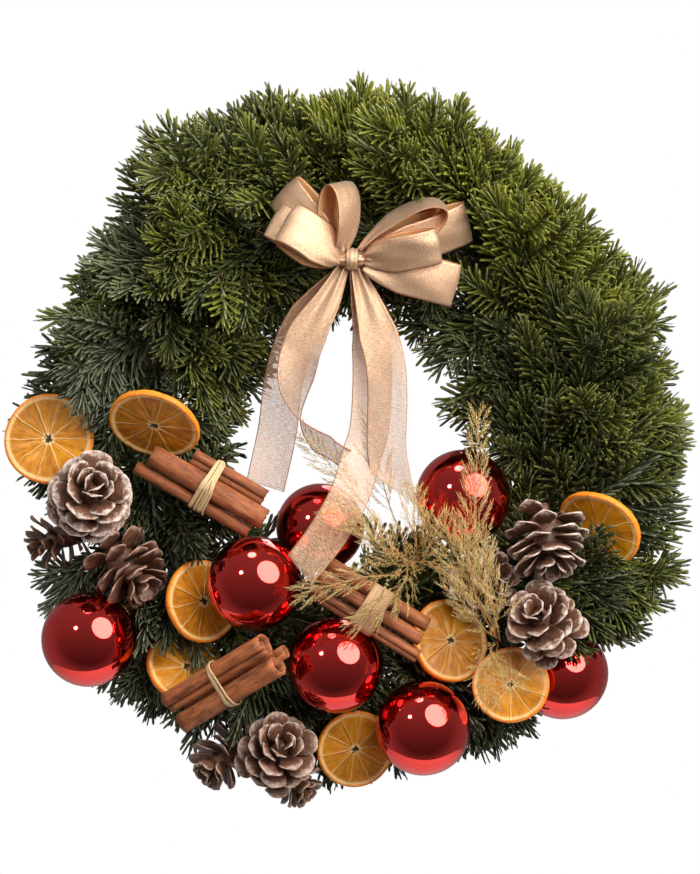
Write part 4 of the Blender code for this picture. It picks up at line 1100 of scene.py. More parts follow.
class WREATH_OT_ring(Operator):
    """Lay the straw ring, the binding wire and the hanger loop"""

    bl_idname = "wreath.ring"
    bl_label = "Ring and hanger"

    def execute(self, context):
        settings = context.scene.wreath_ring
        draw = random.Random(settings.seed)
        surface = Surface()
        rows = []
        for angle in angles(120):
            row = []
            for turn in angles(18):
                across = cos(turn)
                out = ring_section(across) * RING_DEPTH if sin(turn) > 0 else 0.0
                spot = on_ring(angle, across * RING_HALF_WIDTH, out)
                ruck = noise.noise(spot * 90) * (0.8 if out else 0.0)
                spot = on_ring(angle, across * (RING_HALF_WIDTH - 0.8 + ruck),
                        out - 0.3 * bool(out))
                row.append(surface.add(spot, shade=0.8,
                        lie=(angle * RING_RADIUS * MM, across * 0.02, out * MM)))
            rows.append(row)
        surface.skin(rows, closed_round=True, closed_along=True)
        for _ in range(settings.strands):
            self.add_straw(surface, draw)
        hand_over(new_object("straw_ring", surface.mesh("straw_ring"), straw_finish(settings)),
                "ring_base")
        self.make_hanger()
        lacquer = wire_finish("Green wire", (0.035, 0.09, 0.035), (0.015, 0.03, 0.015), 0.6, 0.35)
        wire = bpy.data.objects["florists_wire"].data
        wire.materials.clear()
        wire.materials.append(lacquer)
        return {"FINISHED"}

    def add_straw(self, surface, draw):
        """One straw that lies along the ring, a little askew."""
        start = draw.uniform(0, tau)
        span = draw.uniform(0.18, 0.5)
        across, slip = draw.uniform(-0.95, 0.95), draw.uniform(-0.25, 0.25)
        back = draw.random() < 0.3
        path = []
        for step in range(7):
            place_at = clamp(across + slip * (step / 6 - 0.5), -0.98, 0.98)
            out = -0.2 if back else ring_section(place_at) * RING_DEPTH - 0.2
            path.append(on_ring(start + span * step / 6, place_at * (RING_HALF_WIDTH - 0.6), out))
        sweep(surface, path, oval(0.9 * MM, 0.45 * MM, 4), shade=draw.uniform(0.0, 0.5))

    def make_hanger(self):
        """The hanger's wire in one smooth loop."""
        middle = -RING_MIDDLE.z / MM + HANGER_WIRE - HANGER_BEND
        arch = []
        for step in range(25):
            angle = radians(-20) + radians(220) * step / 24
            arch.append(place(HANGER_BEND * cos(angle),
                    middle + HANGER_BEND * sin(angle), HANGER_OUT))
        leg, other = ([place(right, RING_RADIUS + across, out) for across, out in HANGER_SECTION]
                for right in (-HANGER_LEG, HANGER_LEG))
        surface = Surface()
        sweep(surface, arch + leg + other[::-1], oval(HANGER_WIRE * MM, HANGER_WIRE * MM),
                closed=True)
        steel = wire_finish("Steel wire", (0.62, 0.62, 0.60), (0.35, 0.34, 0.32), 1.0, 0.32)
        hand_over(new_object("hanger", surface.mesh("hanger"), steel), "hanger_loop")


class WreathBaubles(PropertyGroup):
    """The shiny balls and their caps."""

    red: colour("Red", "Mirror red of the balls", (0.80, 0.012, 0.007))
    cap_radius: length("Cap radius", "Radius of a ball's metal cap", 0.005)
    cap_length: length("Cap length", "Height of a ball's metal cap", 0.006)
    crimps: whole("Crimps", "Folds round a cap's skirt", 14)


def bauble_finish(settings):
    """Red mirror under clear lacquer, with faint dust."""
    material, graph, shader, dust = mottled_finish(
        "Red mirror", settings.red, darker(settings.red, 0.86), 70.0, Metallic=1.0, Coat_Weight=0.8,
        Coat_Roughness=0.02, Coat_IOR=1.62, Specular_Tint=(0.75, 0.12, 0.10))
    graph.give(shader, Roughness=graph.fit(dust.outputs["Height"], 0.35, 0.65, 0.05, 0.085))
    return material


class WREATH_OT_baubles(Operator):
    """Blow the seven balls and crimp their caps"""

    bl_idname = "wreath.baubles"
    bl_label = "Balls"

    def execute(self, context):
        settings = context.scene.wreath_baubles
        mirror = bauble_finish(settings)
        metal = wire_finish("Gilt cap", (0.80, 0.62, 0.30), (0.50, 0.36, 0.15), 1.0, 0.3)
        for index, (right, up, out, radius) in enumerate(BAUBLES, start=1):
            centre = place(right, up, out)
            low, high = (Vector(corner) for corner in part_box(f"bauble_cap_{index}"))
            back = ((low + high) / 2 - centre).normalized()
            profile = [(radius * MM * sin(pi * part) if 0 < part < 1 else 0,
                    -radius * MM * cos(pi * part), 0.0) for part in shares(40)]
            ball = turned(profile, 64).mesh("bauble", facing(centre, back))
            hand_over(new_object(f"bauble_ball_{index}", ball, mirror), f"bauble_{index}")
            neck = centre + back * (radius * MM + 0.3 * MM)
            cap = self.cap_shape(settings).mesh("cap", facing(neck, back))
            hand_over(new_object(f"ball_cap_{index}", cap, metal), f"bauble_cap_{index}")
        return {"FINISHED"}

    def cap_shape(self, settings):
        """A crimped cap with its wire loop, standing on the ball."""
        wide, tall = settings.cap_radius, settings.cap_length
        profile = [(0, 0.1 * tall, 0), (wide * 0.9, 0.06 * tall, 0.05), (wide * 1.04, 0, 0.07),
                (wide, 0.25 * tall, 0.05), (wide * 0.9, 0.62 * tall, 0.01),
                (wide * 0.88, 0.8 * tall, 0), (wide * 0.7, 0.97 * tall, 0), (wide * 0.3, tall, 0),
                (0, tall, 0)]
        surface = turned(profile, settings.crimps * 6, settings.crimps)
        reach, middle = 2.2 * MM, tall + 1.7 * MM
        loop = [Vector((reach * cos(angle), 0, middle + reach * sin(angle)))
                for angle in angles(24)]
        ring = Surface()
        sweep(ring, loop, oval(0.4 * MM, 0.4 * MM, 6), closed=True, hint=Vector((0, 1, 0)))
        first = len(surface.points)
        surface.points += ring.points
        surface.faces += [tuple(first + corner for corner in face) for face in ring.faces]
        return surface


class WreathOranges(PropertyGroup):
    """The dried orange slices."""

    thickness: length("Thickness", "Thickness of a slice at its rind", 0.005)
    segments: whole("Segments", "Segments in a slice", 10)
    flesh: colour("Flesh", "Dried flesh in the light", (0.72, 0.31, 0.010))
    deep: colour("Deep flesh", "Dried flesh where it's thick", (0.31, 0.088, 0.002))
    pith: colour("Pith", "Pith under the rind and membranes", (0.84, 0.58, 0.27))
    rind: colour("Rind", "Rind", (0.80, 0.25, 0.010))
    seed: whole("Seed", "Seed of the slices' shapes", 5)


def citrus_group():
    """Shader group: segments, membranes, pith, rind and core of a citrus slice, with painted shade
    in the hollow at its core.
    """
    graph, entry = new_tree(
        "Citrus", "ShaderNodeTree",
        (("Disc", "Vector"), ("Segments", "Float", 10.0),
         ("Flesh", "Color"), ("Deep", "Color"),
         ("Pith", "Color"), ("Rind", "Color")),
        (("Color", "Color"), ("Height", "Float"), ("Dry", "Float")))
    flat = graph.vector("MULTIPLY", entry["Disc"], (1, 1, 0))
    warp = graph.grain(flat, 2.2, 2.0)
    reach = graph.vector("LENGTH", flat).outputs["Value"]
    parts = graph.add("ShaderNodeSeparateXYZ", flat)
    angle = graph.math("ARCTAN2", parts.outputs["Y"], parts.outputs["X"])
    turn = graph.plus(graph.math("DIVIDE", angle, tau), graph.times(warp, 0.035))
    phase = graph.math("FRACT", graph.times(turn, entry["Segments"]))
    from_line = graph.times(graph.less(0.5, graph.math("ABSOLUTE", graph.less(phase, 0.5))),
            graph.times(reach, 0.62))
    membrane = graph.fit(from_line, 0.006, 0.024, 1.0, 0.0)
    streaks = graph.add("ShaderNodeCombineXYZ", graph.times(turn, 45.0), graph.times(reach, 3.5))
    vesicles = graph.fit(graph.grain(streaks, 1.0, 2.0), 0.38, 0.62)
    blot = graph.grain(flat, 3.0, 3.0)
    own = graph.add("ShaderNodeTexWhiteNoise", noise_dimensions="1D")
    graph.give(own, W=graph.math("FLOOR", graph.times(turn, entry["Segments"])))
    share = graph.plus(graph.times(graph.fit(blot, 0.38, 0.62), 0.26),
            graph.times(vesicles, 0.40))
    share = graph.plus(share, graph.times(own.outputs["Value"], 0.34))
    this_slice = graph.add("ShaderNodeObjectInfo").outputs["Random"]
    share = graph.plus(share, graph.scaled(this_slice, -0.16, 0.3))
    shown = graph.mix(share, entry["Deep"], entry["Flesh"])
    wobble = graph.times(graph.less(blot, 0.5), 0.05)
    rim = graph.plus(reach, wobble)
    shown = graph.mix(graph.times(membrane, 0.62), shown, entry["Pith"])
    core = graph.fit(rim, 0.12, 0.17, 1.0, 0.0)
    shown = graph.mix(graph.times(core, 0.9), shown, entry["Pith"])
    # Painted shade: a near-black star at the very core stands for the shadow in its hollow.
    star = graph.times(graph.less(graph.grain(flat, 12.0, 2.0), 0.5), 0.3)
    hollow_shade = graph.fit(graph.plus(reach, star), 0.075, 0.09, 1.0, 0.0)
    shown = graph.mix(hollow_shade, shown, (0.03, 0.014, 0.006))
    shown = graph.mix(graph.times(graph.fit(rim, 0.85, 0.89), 0.85), shown, entry["Pith"])
    shown = graph.mix(graph.fit(rim, 0.935, 0.955), shown, entry["Rind"])
    height = graph.plus(graph.times(membrane, 0.6), graph.times(share, 0.25))
    dry = graph.fit(rim, 0.84, 0.92)
    return graph.close(shown, height, dry)


def orange_finish(settings):
    """Amber flesh that lets light through, dull rind."""
    material, graph, shader = new_finish(
        "Dried orange", Subsurface_Weight=0.45, Subsurface_Scale=0.004,
        Subsurface_Radius=(1.0, 0.45, 0.1), Coat_Weight=0.15, Coat_Roughness=0.25)
    citrus = graph.group(citrus_group(), Disc=graph.attribute("disc", "Vector"),
            Segments=float(settings.segments), Flesh=settings.flesh, Deep=settings.deep,
            Pith=settings.pith, Rind=settings.rind)
    graph.give(shader, Base_Color=citrus.outputs["Color"],
            Roughness=graph.scaled(citrus.outputs["Dry"], 0.36, 0.62),
            Normal=graph.bump(citrus.outputs["Height"], 0.7, 0.0010))
    return material


class WREATH_OT_oranges(Operator):
    """Cut and dry the eight orange slices"""

    bl_idname = "wreath.oranges"
    bl_label = "Orange slices"

    def execute(self, context):
        settings = context.scene.wreath_oranges
        draw = random.Random(settings.seed)
        finish = orange_finish(settings)
        for index, (right, up, out, radius, turn, tilt, dent) in enumerate(SLICES, start=1):
            turn, tilt = radians(turn), radians(tilt)
            normal = Vector((sin(turn), -cos(turn) * cos(tilt), sin(tilt)))
            spin = Matrix.Rotation(draw.uniform(0, tau), 4, "Z")
            mesh = self.slice_shape(settings, radius, dent, draw).mesh(
                "slice", facing(place(right, up, out), normal.normalized()) @ spin)
            piece = new_object(f"orange_{index}", mesh, finish)
            hand_over(piece, f"orange_slice_{index}")
        return {"FINISHED"}

    def slice_shape(self, settings, radius, dent, draw):
        """One slice: shrunken flesh between membranes inside a firmer rind."""
        surface = Surface()
        sides, half = 96, settings.thickness / 2
        marks = (0.03, 0.08, 0.16, 0.28, 0.4, 0.52, 0.64, 0.74, 0.82, 0.88, 0.93, 0.97, 0.995)
        shift = draw.uniform(0, 50)
        rows = [[surface.add(Vector((0, 0, half * 0.45)), disc=(0.0, 0.0, 0.45))]]
        for face, places in ((1, marks), (0, (1.01,)), (-1, reversed(marks))):
            for reach in places:
                row = []
                for side, angle in enumerate(angles(sides)):
                    phase = (side / sides * settings.segments) % 1.0
                    pillow = sin(pi * phase) * 0.16 * (1 - reach ** 4)
                    flesh = 0.58 + pillow
                    if reach >= 0.85:
                        flesh = blend(0.62, 0.96, (reach - 0.85) / 0.15)
                    rise = half * face * flesh * (1.0 if reach < 0.99 else 0.72)
                    wave = noise.noise(polar(1.3, angle, shift))
                    wide = radius * MM * (1 - 0.015 + 0.05 * dent * wave)
                    spot = polar(wide * reach, angle, rise)
                    spot.z += dent * 2.2 * MM * reach ** 2 * cos(2 * angle + shift)
                    spot.z += 0.5 * MM * noise.noise(spot * 180 + Vector((0, 0, shift)))
                    row.append(surface.add(spot, disc=polar(reach, angle, flesh)))
                rows.append(row)
        rows.append([surface.add(Vector((0, 0, -half * 0.45)), disc=(0.0, 0.0, -0.45))])
        surface.skin(rows, closed_round=True)
        return surface


class WreathCones(PropertyGroup):
    """The pine cones."""

    scales: whole("Scales", "Scales on a cone", 32)
    brown: colour("Brown", "Scales in the light", (0.20, 0.088, 0.052))
    deep: colour("Deep brown", "Scales in the shade", (0.050, 0.019, 0.012))
    frost: colour("Frost", "White frosting on the scales' lips", (0.74, 0.66, 0.63))
    seed: whole("Seed", "Seed of the scales' small turns", 11)


def scale_model():
    """One cone scale of unit length: a cupped spoon with a thick, rounded lip."""
    surface = Surface()
    rows = []
    for along in (0.0, 0.3, 0.55, 0.75, 0.88, 0.96, 1.0):
        wide = 0.11 + 0.27 * sin(min(along / 0.72, 1) * pi / 2)
        if along > 0.72:
            wide *= sqrt(max(0.02, 1 - ((along - 0.72) / 0.29) ** 2))
        taper = 1 - (max(0.0, along - 0.75) / 0.26) ** 2
        thick = (0.05 + 0.085 * along) * sqrt(max(0.05, taper))
        row = []
        for face in (1, -1):
            for step in range(7):
                u = (step / 3 - 1) * face
                lift = 0.07 * u * u * along + 0.12 * along ** 2 - 1.4 * max(0.0, along - 0.72) ** 2
                edge = thick * sqrt(max(0.08, 1 - u * u))
                row.append(surface.add(
                    Vector((u * wide, lift + edge * face / 2, along)),
                    along=along, rim=max(abs(u) ** 1.5, along ** 1.5)))
        rows.append(row)
    surface.skin(rows, closed_round=True)
    surface.close_ends(rows)
    return new_object("scale_model", surface.mesh("scale_model"))


def cone_tree():
    """Geometry tree: a scale at every point of a cone, turned by its own angles."""
    graph, entry = new_tree(
        "Cone scales", "GeometryNodeTree",
        (("Places", "Geometry"), ("Scale", "Object"),
         ("Core", "Object"), ("Finish", "Material")),
        (("Cone", "Geometry"),))
    points = graph.add("GeometryNodeMeshToPoints", entry["Places"])
    turn = graph.named("turn", "FLOAT_VECTOR")
    scales = graph.copies(points, None, entry["Scale"],
            Rotation=graph.add("FunctionNodeEulerToRotation", turn),
            Scale=graph.named("size", "FLOAT_VECTOR"))
    core = graph.add("GeometryNodeObjectInfo", entry["Core"]).outputs["Geometry"]
    joined = graph.join(scales, core)
    return graph.close(graph.add("GeometryNodeSetMaterial", joined, None, entry["Finish"]))


def cone_finish(settings):
    """Woody scales with painted shade at their roots and white frosting on their lips."""
    material, graph, shader = new_finish("Frosted cone", Roughness=0.62)
    spot = object_place(graph)
    mottle = graph.group(mottle_group(), Vector=spot, Scale=230.0,
            Light=settings.brown, Dark=settings.deep)
    # Painted shade: each scale darkens to the shaded brown towards its root, between its
    # neighbours.
    root = graph.fit(graph.attribute("along"), 0.15, 0.6, 0.85, 0.0)
    wood = graph.mix(root, mottle.outputs["Color"], settings.deep)
    patch = graph.grain(spot, 320.0, 4.0, 0.65)
    rough_edge = graph.times(graph.less(patch, 0.5), 1.3)
    lip = graph.fit(graph.plus(graph.attribute("rim"), rough_edge), 0.74, 1.12)
    lip = graph.times(lip, graph.fit(graph.attribute("along"), 0.4, 0.75))
    lip = graph.times(lip, graph.attribute("frost"))
    bare_lip = graph.fit(graph.attribute("rim"), 0.8, 1.0, 0.0, 0.45)
    wood = graph.mix(bare_lip, wood, (0.42, 0.22, 0.12))
    graph.give(shader, Base_Color=graph.mix(lip, wood, settings.frost),
            Roughness=graph.scaled(lip, 0.5, 0.8), Normal=graph.bump(patch, 0.6, 0.0010))
    return material


class WREATH_OT_cones(Operator):
    """Grow the nine frosted pine cones"""

    bl_idname = "wreath.cones"
    bl_label = "Pine cones"

    def execute(self, context):
        settings = context.scene.wreath_cones
        draw = random.Random(settings.seed)
        model, tree, finish = scale_model(), cone_tree(), cone_finish(settings)
        for index, cone in enumerate(CONES, start=1):
            *middle, radius, size, aim, broad, open_, frost = cone
            matrix = facing(place(*middle), Vector(aim).normalized())
            core = new_object("core", self.core_shape(radius * MM, size * MM).mesh("core", matrix))
            spots = self.places(settings, radius, size, broad, open_, matrix, draw)
            piece = grown(f"cone_{index}", spots, tree,
                    {"Scale": model, "Core": core, "Finish": finish})
            store(piece.data, "frost", [frost] * len(piece.data.vertices))
            hand_over(piece, f"pine_cone_{index}")
            remove_models(core)
        remove_models(model)
        return {"FINISHED"}

    def core_shape(self, radius, size):
        """The body inside the scales, with the stub of its stalk."""
        profile = [(0, -0.58, 0), (0.12, -0.575, 0.1), (0.13, -0.50, 0.1), (0.09, -0.42, 0.1),
                (0.26, -0.38, 0.05), (0.42, -0.30, 0), (0.40, -0.1, 0), (0.30, 0.12, 0),
                (0.18, 0.28, 0), (0.06, 0.36, 0), (0, 0.38, 0)]
        profile = [(wide * radius, tall * size, depth) for wide, tall, depth in profile]
        surface = turned(profile, 20, 5)
        for key, value in (("along", 0.5), ("rim", 0.3)):
            surface.values[key] = [value] * len(surface.points)
        return surface

    def places(self, settings, radius, size, broad, open_, matrix, draw):
        """A point for each scale, with its angles and its size."""
        mesh = bpy.data.meshes.new("scales")
        spots, turns, sizes = [], [], []
        for number in range(settings.scales):
            share = ((number + 0.5) / settings.scales) ** 0.85
            azimuth = number * GOLDEN_TURN + draw.uniform(-0.26, 0.26)
            radial = polar(1, azimuth)
            rise = radians(blend(-12, 72 - 24 * (open_ - 0.75), share ** 1.6))
            rise += draw.uniform(-0.2, 0.2)
            core = radius * 0.30 * sqrt(max(0.02, 1 - share ** 2))
            reach = radius * (1 if share < 0.5 else 1 - 0.62 * ((share - 0.5) / 0.5) ** 1.6)
            long = (reach - core) * blend(1.06, 1.0, share)
            if share >= 0.6:
                long = (reach - core) * 1.1 + radius * 0.12
            height = size * blend(-0.36, 0.30, share)
            outward = radial * cos(rise) + Vector((0, 0, sin(rise)))
            tangent = Vector((-sin(azimuth), cos(azimuth), 0))
            turn = Matrix((tangent, outward.cross(tangent), outward)).transposed()
            pose = matrix.to_3x3() @ turn
            spots.append(matrix @ ((radial * core + Vector((0, 0, height))) * MM))
            turns.append(Vector(pose.to_euler()))
            wide = long * broad * draw.uniform(0.92, 1.08) * MM
            sizes.append((wide * (1.15 if share < 0.7 else 1.0), long * MM,
                    long * draw.uniform(0.94, 1.04) * MM))
        mesh.from_pydata(spots, [], [])
        store(mesh, "turn", turns)
        store(mesh, "size", sizes)
        return mesh


class WreathCinnamon(PropertyGroup):
    """The cinnamon quills and the ties round them."""

    wall: length("Bark thickness", "Thickness of the rolled bark", 0.0013)
    light: colour("Light bark", "Outer bark in the light", (0.41, 0.124, 0.038))
    # The dark bark is also the painted shade inside the roll.
    dark: colour("Dark bark", "Bark in its creases", (0.125, 0.034, 0.013))
    raffia: colour("Raffia", "Raffia strands", (0.74, 0.52, 0.29))
    paper: colour("Paper band", "Flat band round the thin quills", (0.66, 0.40, 0.23))
    seed: whole("Seed", "Seed of the bark's unevenness", 17)


def bark_roll_finish(settings, tint):
    """Cinnamon bark with long fibres, dark spots, and painted shade inside the roll."""
    material, graph, shader, shown = fibrous_finish(
        "Cinnamon", (90, 520, 520), darker(settings.light, tint), settings.dark, 0.0007,
        Roughness=0.72)
    lie = graph.attribute("lie", "Vector")
    spots = graph.fit(graph.grain(lie, 230.0, 3.0, 0.7), 0.58, 0.70, 0.0, 0.75)
    streaks = graph.grain(graph.vector("MULTIPLY", lie, (60, 330, 330)), 1.0, 3.0)
    pale = graph.fit(streaks, 0.56, 0.75, 0.0, 0.5)
    shown = graph.mix(pale, shown, (0.50, 0.23, 0.11))
    shown = graph.mix(spots, shown, settings.dark)
    # Painted shade: the bark darkens inside its curled edges and on its inner face, which the roll
    # keeps from the light.
    inner = graph.scaled(graph.attribute("shade"), 0.0, 0.75)
    graph.give(shader, Base_Color=graph.mix(inner, shown, settings.dark))
    return material


def raffia_finish(name, light):
    """Pale raffia, or the paper-like band, with long fibres."""
    return fibrous_finish(
        name, (70, 2600, 2600), light, darker(light, 0.5), 0.0005, Roughness=0.55)[0]


def roll_line(radius):
    """Middle line of a bark roll in section: round the outside, curled in at both edges."""
    turn, curl = radians(42), 0.42
    half = []
    for step in range(13):
        angle = -pi / 2 + (pi / 2 + turn) * step / 12
        half.append((cos(angle), sin(angle)))
    middle = ((1 - curl) * cos(turn), (1 - curl) * sin(turn))
    for step in range(1, 17):
        angle = turn + radians(430) * step / 16
        reach = curl * (1 - 0.62 * step / 16)
        half.append((middle[0] + reach * cos(angle), middle[1] + reach * sin(angle)))
    line = [(-x, y) for x, y in reversed(half[1:])] + half
    return [Vector((x * radius, y * radius)) for x, y in line]


class WREATH_OT_cinnamon(Operator):
    """Roll the cinnamon quills and tie them in bundles"""

    bl_idname = "wreath.cinnamon"
    bl_label = "Cinnamon"

    def execute(self, context):
        settings = context.scene.wreath_cinnamon
        draw = random.Random(settings.seed)
        raffia = raffia_finish("Raffia", settings.raffia)
        paper = raffia_finish("Paper band", settings.paper)
        for index, (middle, slope, lean, quills) in enumerate(BUNDLES, start=1):
            slope, lean = radians(slope), radians(lean)
            level = Vector((cos(slope), 0, sin(slope)))
            along = level * cos(lean) + FRONT * sin(lean)
            side = Vector((-sin(slope), 0, cos(slope)))
            matrix = Matrix((side, along.cross(side), along)).transposed().to_4x4()
            matrix.translation = place(*middle)
            bark = bark_roll_finish(settings, BARK_TINTS[index - 1])
            for number, quill in enumerate(quills, start=1):
                mesh = self.quill_shape(settings, quill, draw).mesh("quill", matrix)
                hand_over(new_object(f"quill_{index}_{number}", mesh, bark),
                        f"cinnamon_quill_{index}_{number}")
            tie = Surface()
            banded = index == BANDED_BUNDLE
            for strand in FLAT_BAND if banded else self.strands(9 - 3 * index, draw):
                self.add_strand(tie, quills, strand, draw)
            finish = paper if banded else raffia
            hand_over(new_object(f"tie_{index}", tie.mesh("tie", matrix), finish),
                    f"raffia_tie_{index}")
        return {"FINISHED"}

    def quill_shape(self, settings, quill, draw):
        """One roll of bark, a little uneven along its length and ragged at its ends."""
        across, ahead, radius, start, end, turn = quill
        surface = Surface()
        line = roll_line(radius * MM * 0.97 - settings.wall / 2)
        turn = radians(turn)
        shift = draw.uniform(0, 80)
        rows = []
        for share in shares(16):
            row, inner = [], []
            for index, spot in enumerate(line):
                before, after = line[max(index - 1, 0)], line[min(index + 1, len(line) - 1)]
                way = (after - before).normalized()
                away = Vector((way.y, -way.x))
                lump = noise.noise(Vector((spot.x * 220, spot.y * 220, share * 3.0 + shift)))
                swell = 1 + 0.05 * noise.noise(Vector((share * 2.5, shift, 0.5))) + 0.025 * lump
                ragged = 0.9 * noise.noise(Vector((index * 0.35, shift, 9.0)))
                depth = blend(start, end, share)
                depth += ragged * (1 if share > 0.5 else -1) * abs(2 * share - 1) ** 12
                uneven = noise.noise(Vector((index * 0.6, share * 6, shift)))
                wall = settings.wall * (0.5 + 0.12 * uneven)
                for offset, bucket in ((wall, row), (-wall, inner)):
                    flat = (spot + away * offset) * swell
                    turned_x = flat.x * cos(turn) - flat.y * sin(turn)
                    turned_y = flat.x * sin(turn) + flat.y * cos(turn)
                    place_at = Vector((turned_x + across * MM, turned_y + ahead * MM, depth * MM))
                    # Painted shade goes in the curled edges and on the inner face.
                    curled = clamp((abs(index - len(line) / 2) - 13) / 8)
                    bucket.append(surface.add(
                        place_at, lie=(depth * MM, index * 0.001 + shift, offset),
                        shade=curled * 0.6 + (0.4 if offset < 0 else 0.0)))
            rows.append(row + inner[::-1])
        surface.skin(rows, closed_round=True)
        surface.close_ends(rows)
        return surface

    def strands(self, count, draw):
        """Fanned raffia strands: half width, place along the bundle, lift and fan."""
        return [(draw.uniform(0.6, 1.25),
                (number - (count - 1) / 2) * 2.0 + draw.uniform(-0.5, 0.5),
                0.2 + 0.35 * (number % 3), draw.uniform(0.6, 1.0)) for number in range(count)]

    def add_strand(self, surface, quills, strand, draw):
        """One strand round the quills, gathered behind and fanned in front."""
        half, lean, lift, fan = strand
        path = []
        gather = draw.uniform(2.2, 2.8)
        for angle in angles(40):
            away = Vector((cos(angle), sin(angle)))
            reach = max(away.x * item[0] + away.y * item[1] + item[2] for item in quills)
            tangent = Vector((-away.y, away.x))
            ahead = Vector((cos(angle + 0.05), sin(angle + 0.05)))
            later = max(ahead.x * item[0] + ahead.y * item[1] + item[2] for item in quills)
            spot = away * (reach + lift + 0.3) + tangent * (later - reach) / 0.05
            spread = 1 - fan * (0.5 - 0.5 * cos(angle - gather))
            sway = 0.4 * sin(3 * angle + lean) * fan
            path.append(Vector((spot.x, spot.y, lean * spread + sway)) * MM)
        sweep(surface, path, oval(half * MM, 0.28 * MM, 8), closed=True, hint=Vector((0, 0, 1)),
                shade=draw.uniform(0, 0.3))


class WreathBow(PropertyGroup):
    """The ribbon bow."""

    width: length("Ribbon width", "Width of the ribbon", 0.025)
    thickness: length("Ribbon thickness", "Thickness of the ribbon", 0.0005)
    gold: colour("Gold", "Ribbon in the light", (0.76, 0.52, 0.36))
    shadow: colour("Shaded gold", "Ribbon between its threads", (0.44, 0.262, 0.165))
    # Painted light: the inner face's brighter colour stands for light that comes through the
    # ribbon.
    inner: colour("Inner face", "Inside of a loop", (0.95, 0.52, 0.25))
    edge: colour("Edge", "Wired edge", (0.30, 0.13, 0.065))
    sheer: share("Sheerness", "How much shows through one face of a tail", 0.58)


def ribbon_finish(settings, name, sheer):
    """Woven metallic ribbon with wired edges and painted light on the inner faces of the loops;
    tails let light through.
    """
    material, graph, shader = new_finish(
        name, Sheen_Weight=0.2, Sheen_Roughness=0.4, Subsurface_Weight=0.3, Subsurface_Scale=0.004)
    cloth = graph.attribute("cloth", "Vector")
    threads = [graph.add("ShaderNodeTexWave", cloth, 330.0, 0.6, bands_direction=direction)
            .outputs["Fac"] for direction in "YX"]
    weave = graph.times(*threads)
    lame = graph.grain(graph.vector("MULTIPLY", cloth, (330, 1900, 1)), 1.0, 3.0, 0.7)
    glints = graph.fit(lame, 0.36, 0.64)
    light_and_tone = graph.plus(graph.times(weave, 0.3), graph.times(glints, 0.7))
    shown = graph.mix(light_and_tone, settings.shadow, settings.gold)
    span = graph.add("ShaderNodeSeparateXYZ", graph.attribute("span", "Vector"))
    across, down = span.outputs["X"], span.outputs["Y"]
    # Painted light: inner faces of the loops take the brighter inner colour and less metal, as if
    # lit through the ribbon.
    lit_inside = graph.scaled(span.outputs["Z"], 0.0, 0.0 if sheer else 1.0)
    shown = graph.mix(lit_inside, shown, settings.inner)
    border = graph.fit(graph.math("ABSOLUTE", across), 0.955, 0.975)
    shown = graph.mix(border, shown, settings.edge)
    metal = 0.5 if sheer else 0.85
    metal = graph.times(graph.scaled(glints, metal * 0.5, metal), graph.scaled(lit_inside, 1.0, 0.3))
    graph.give(shader, Base_Color=shown, Metallic=metal,
            Roughness=graph.scaled(glints, 0.5, 0.32), Normal=graph.bump(light_and_tone, 0.55, 0.0003))
    if sheer:
        hole = graph.fit(light_and_tone, 0.15, 0.8, sheer * 1.4, sheer * 0.6)
        hole = graph.times(graph.less(1.0, border), hole)
        hole = graph.times(hole, graph.fit(down, 0.1, 0.55, 0.1, 1.0))
        graph.give(shader, Alpha=graph.less(1.0, hole))
    return material


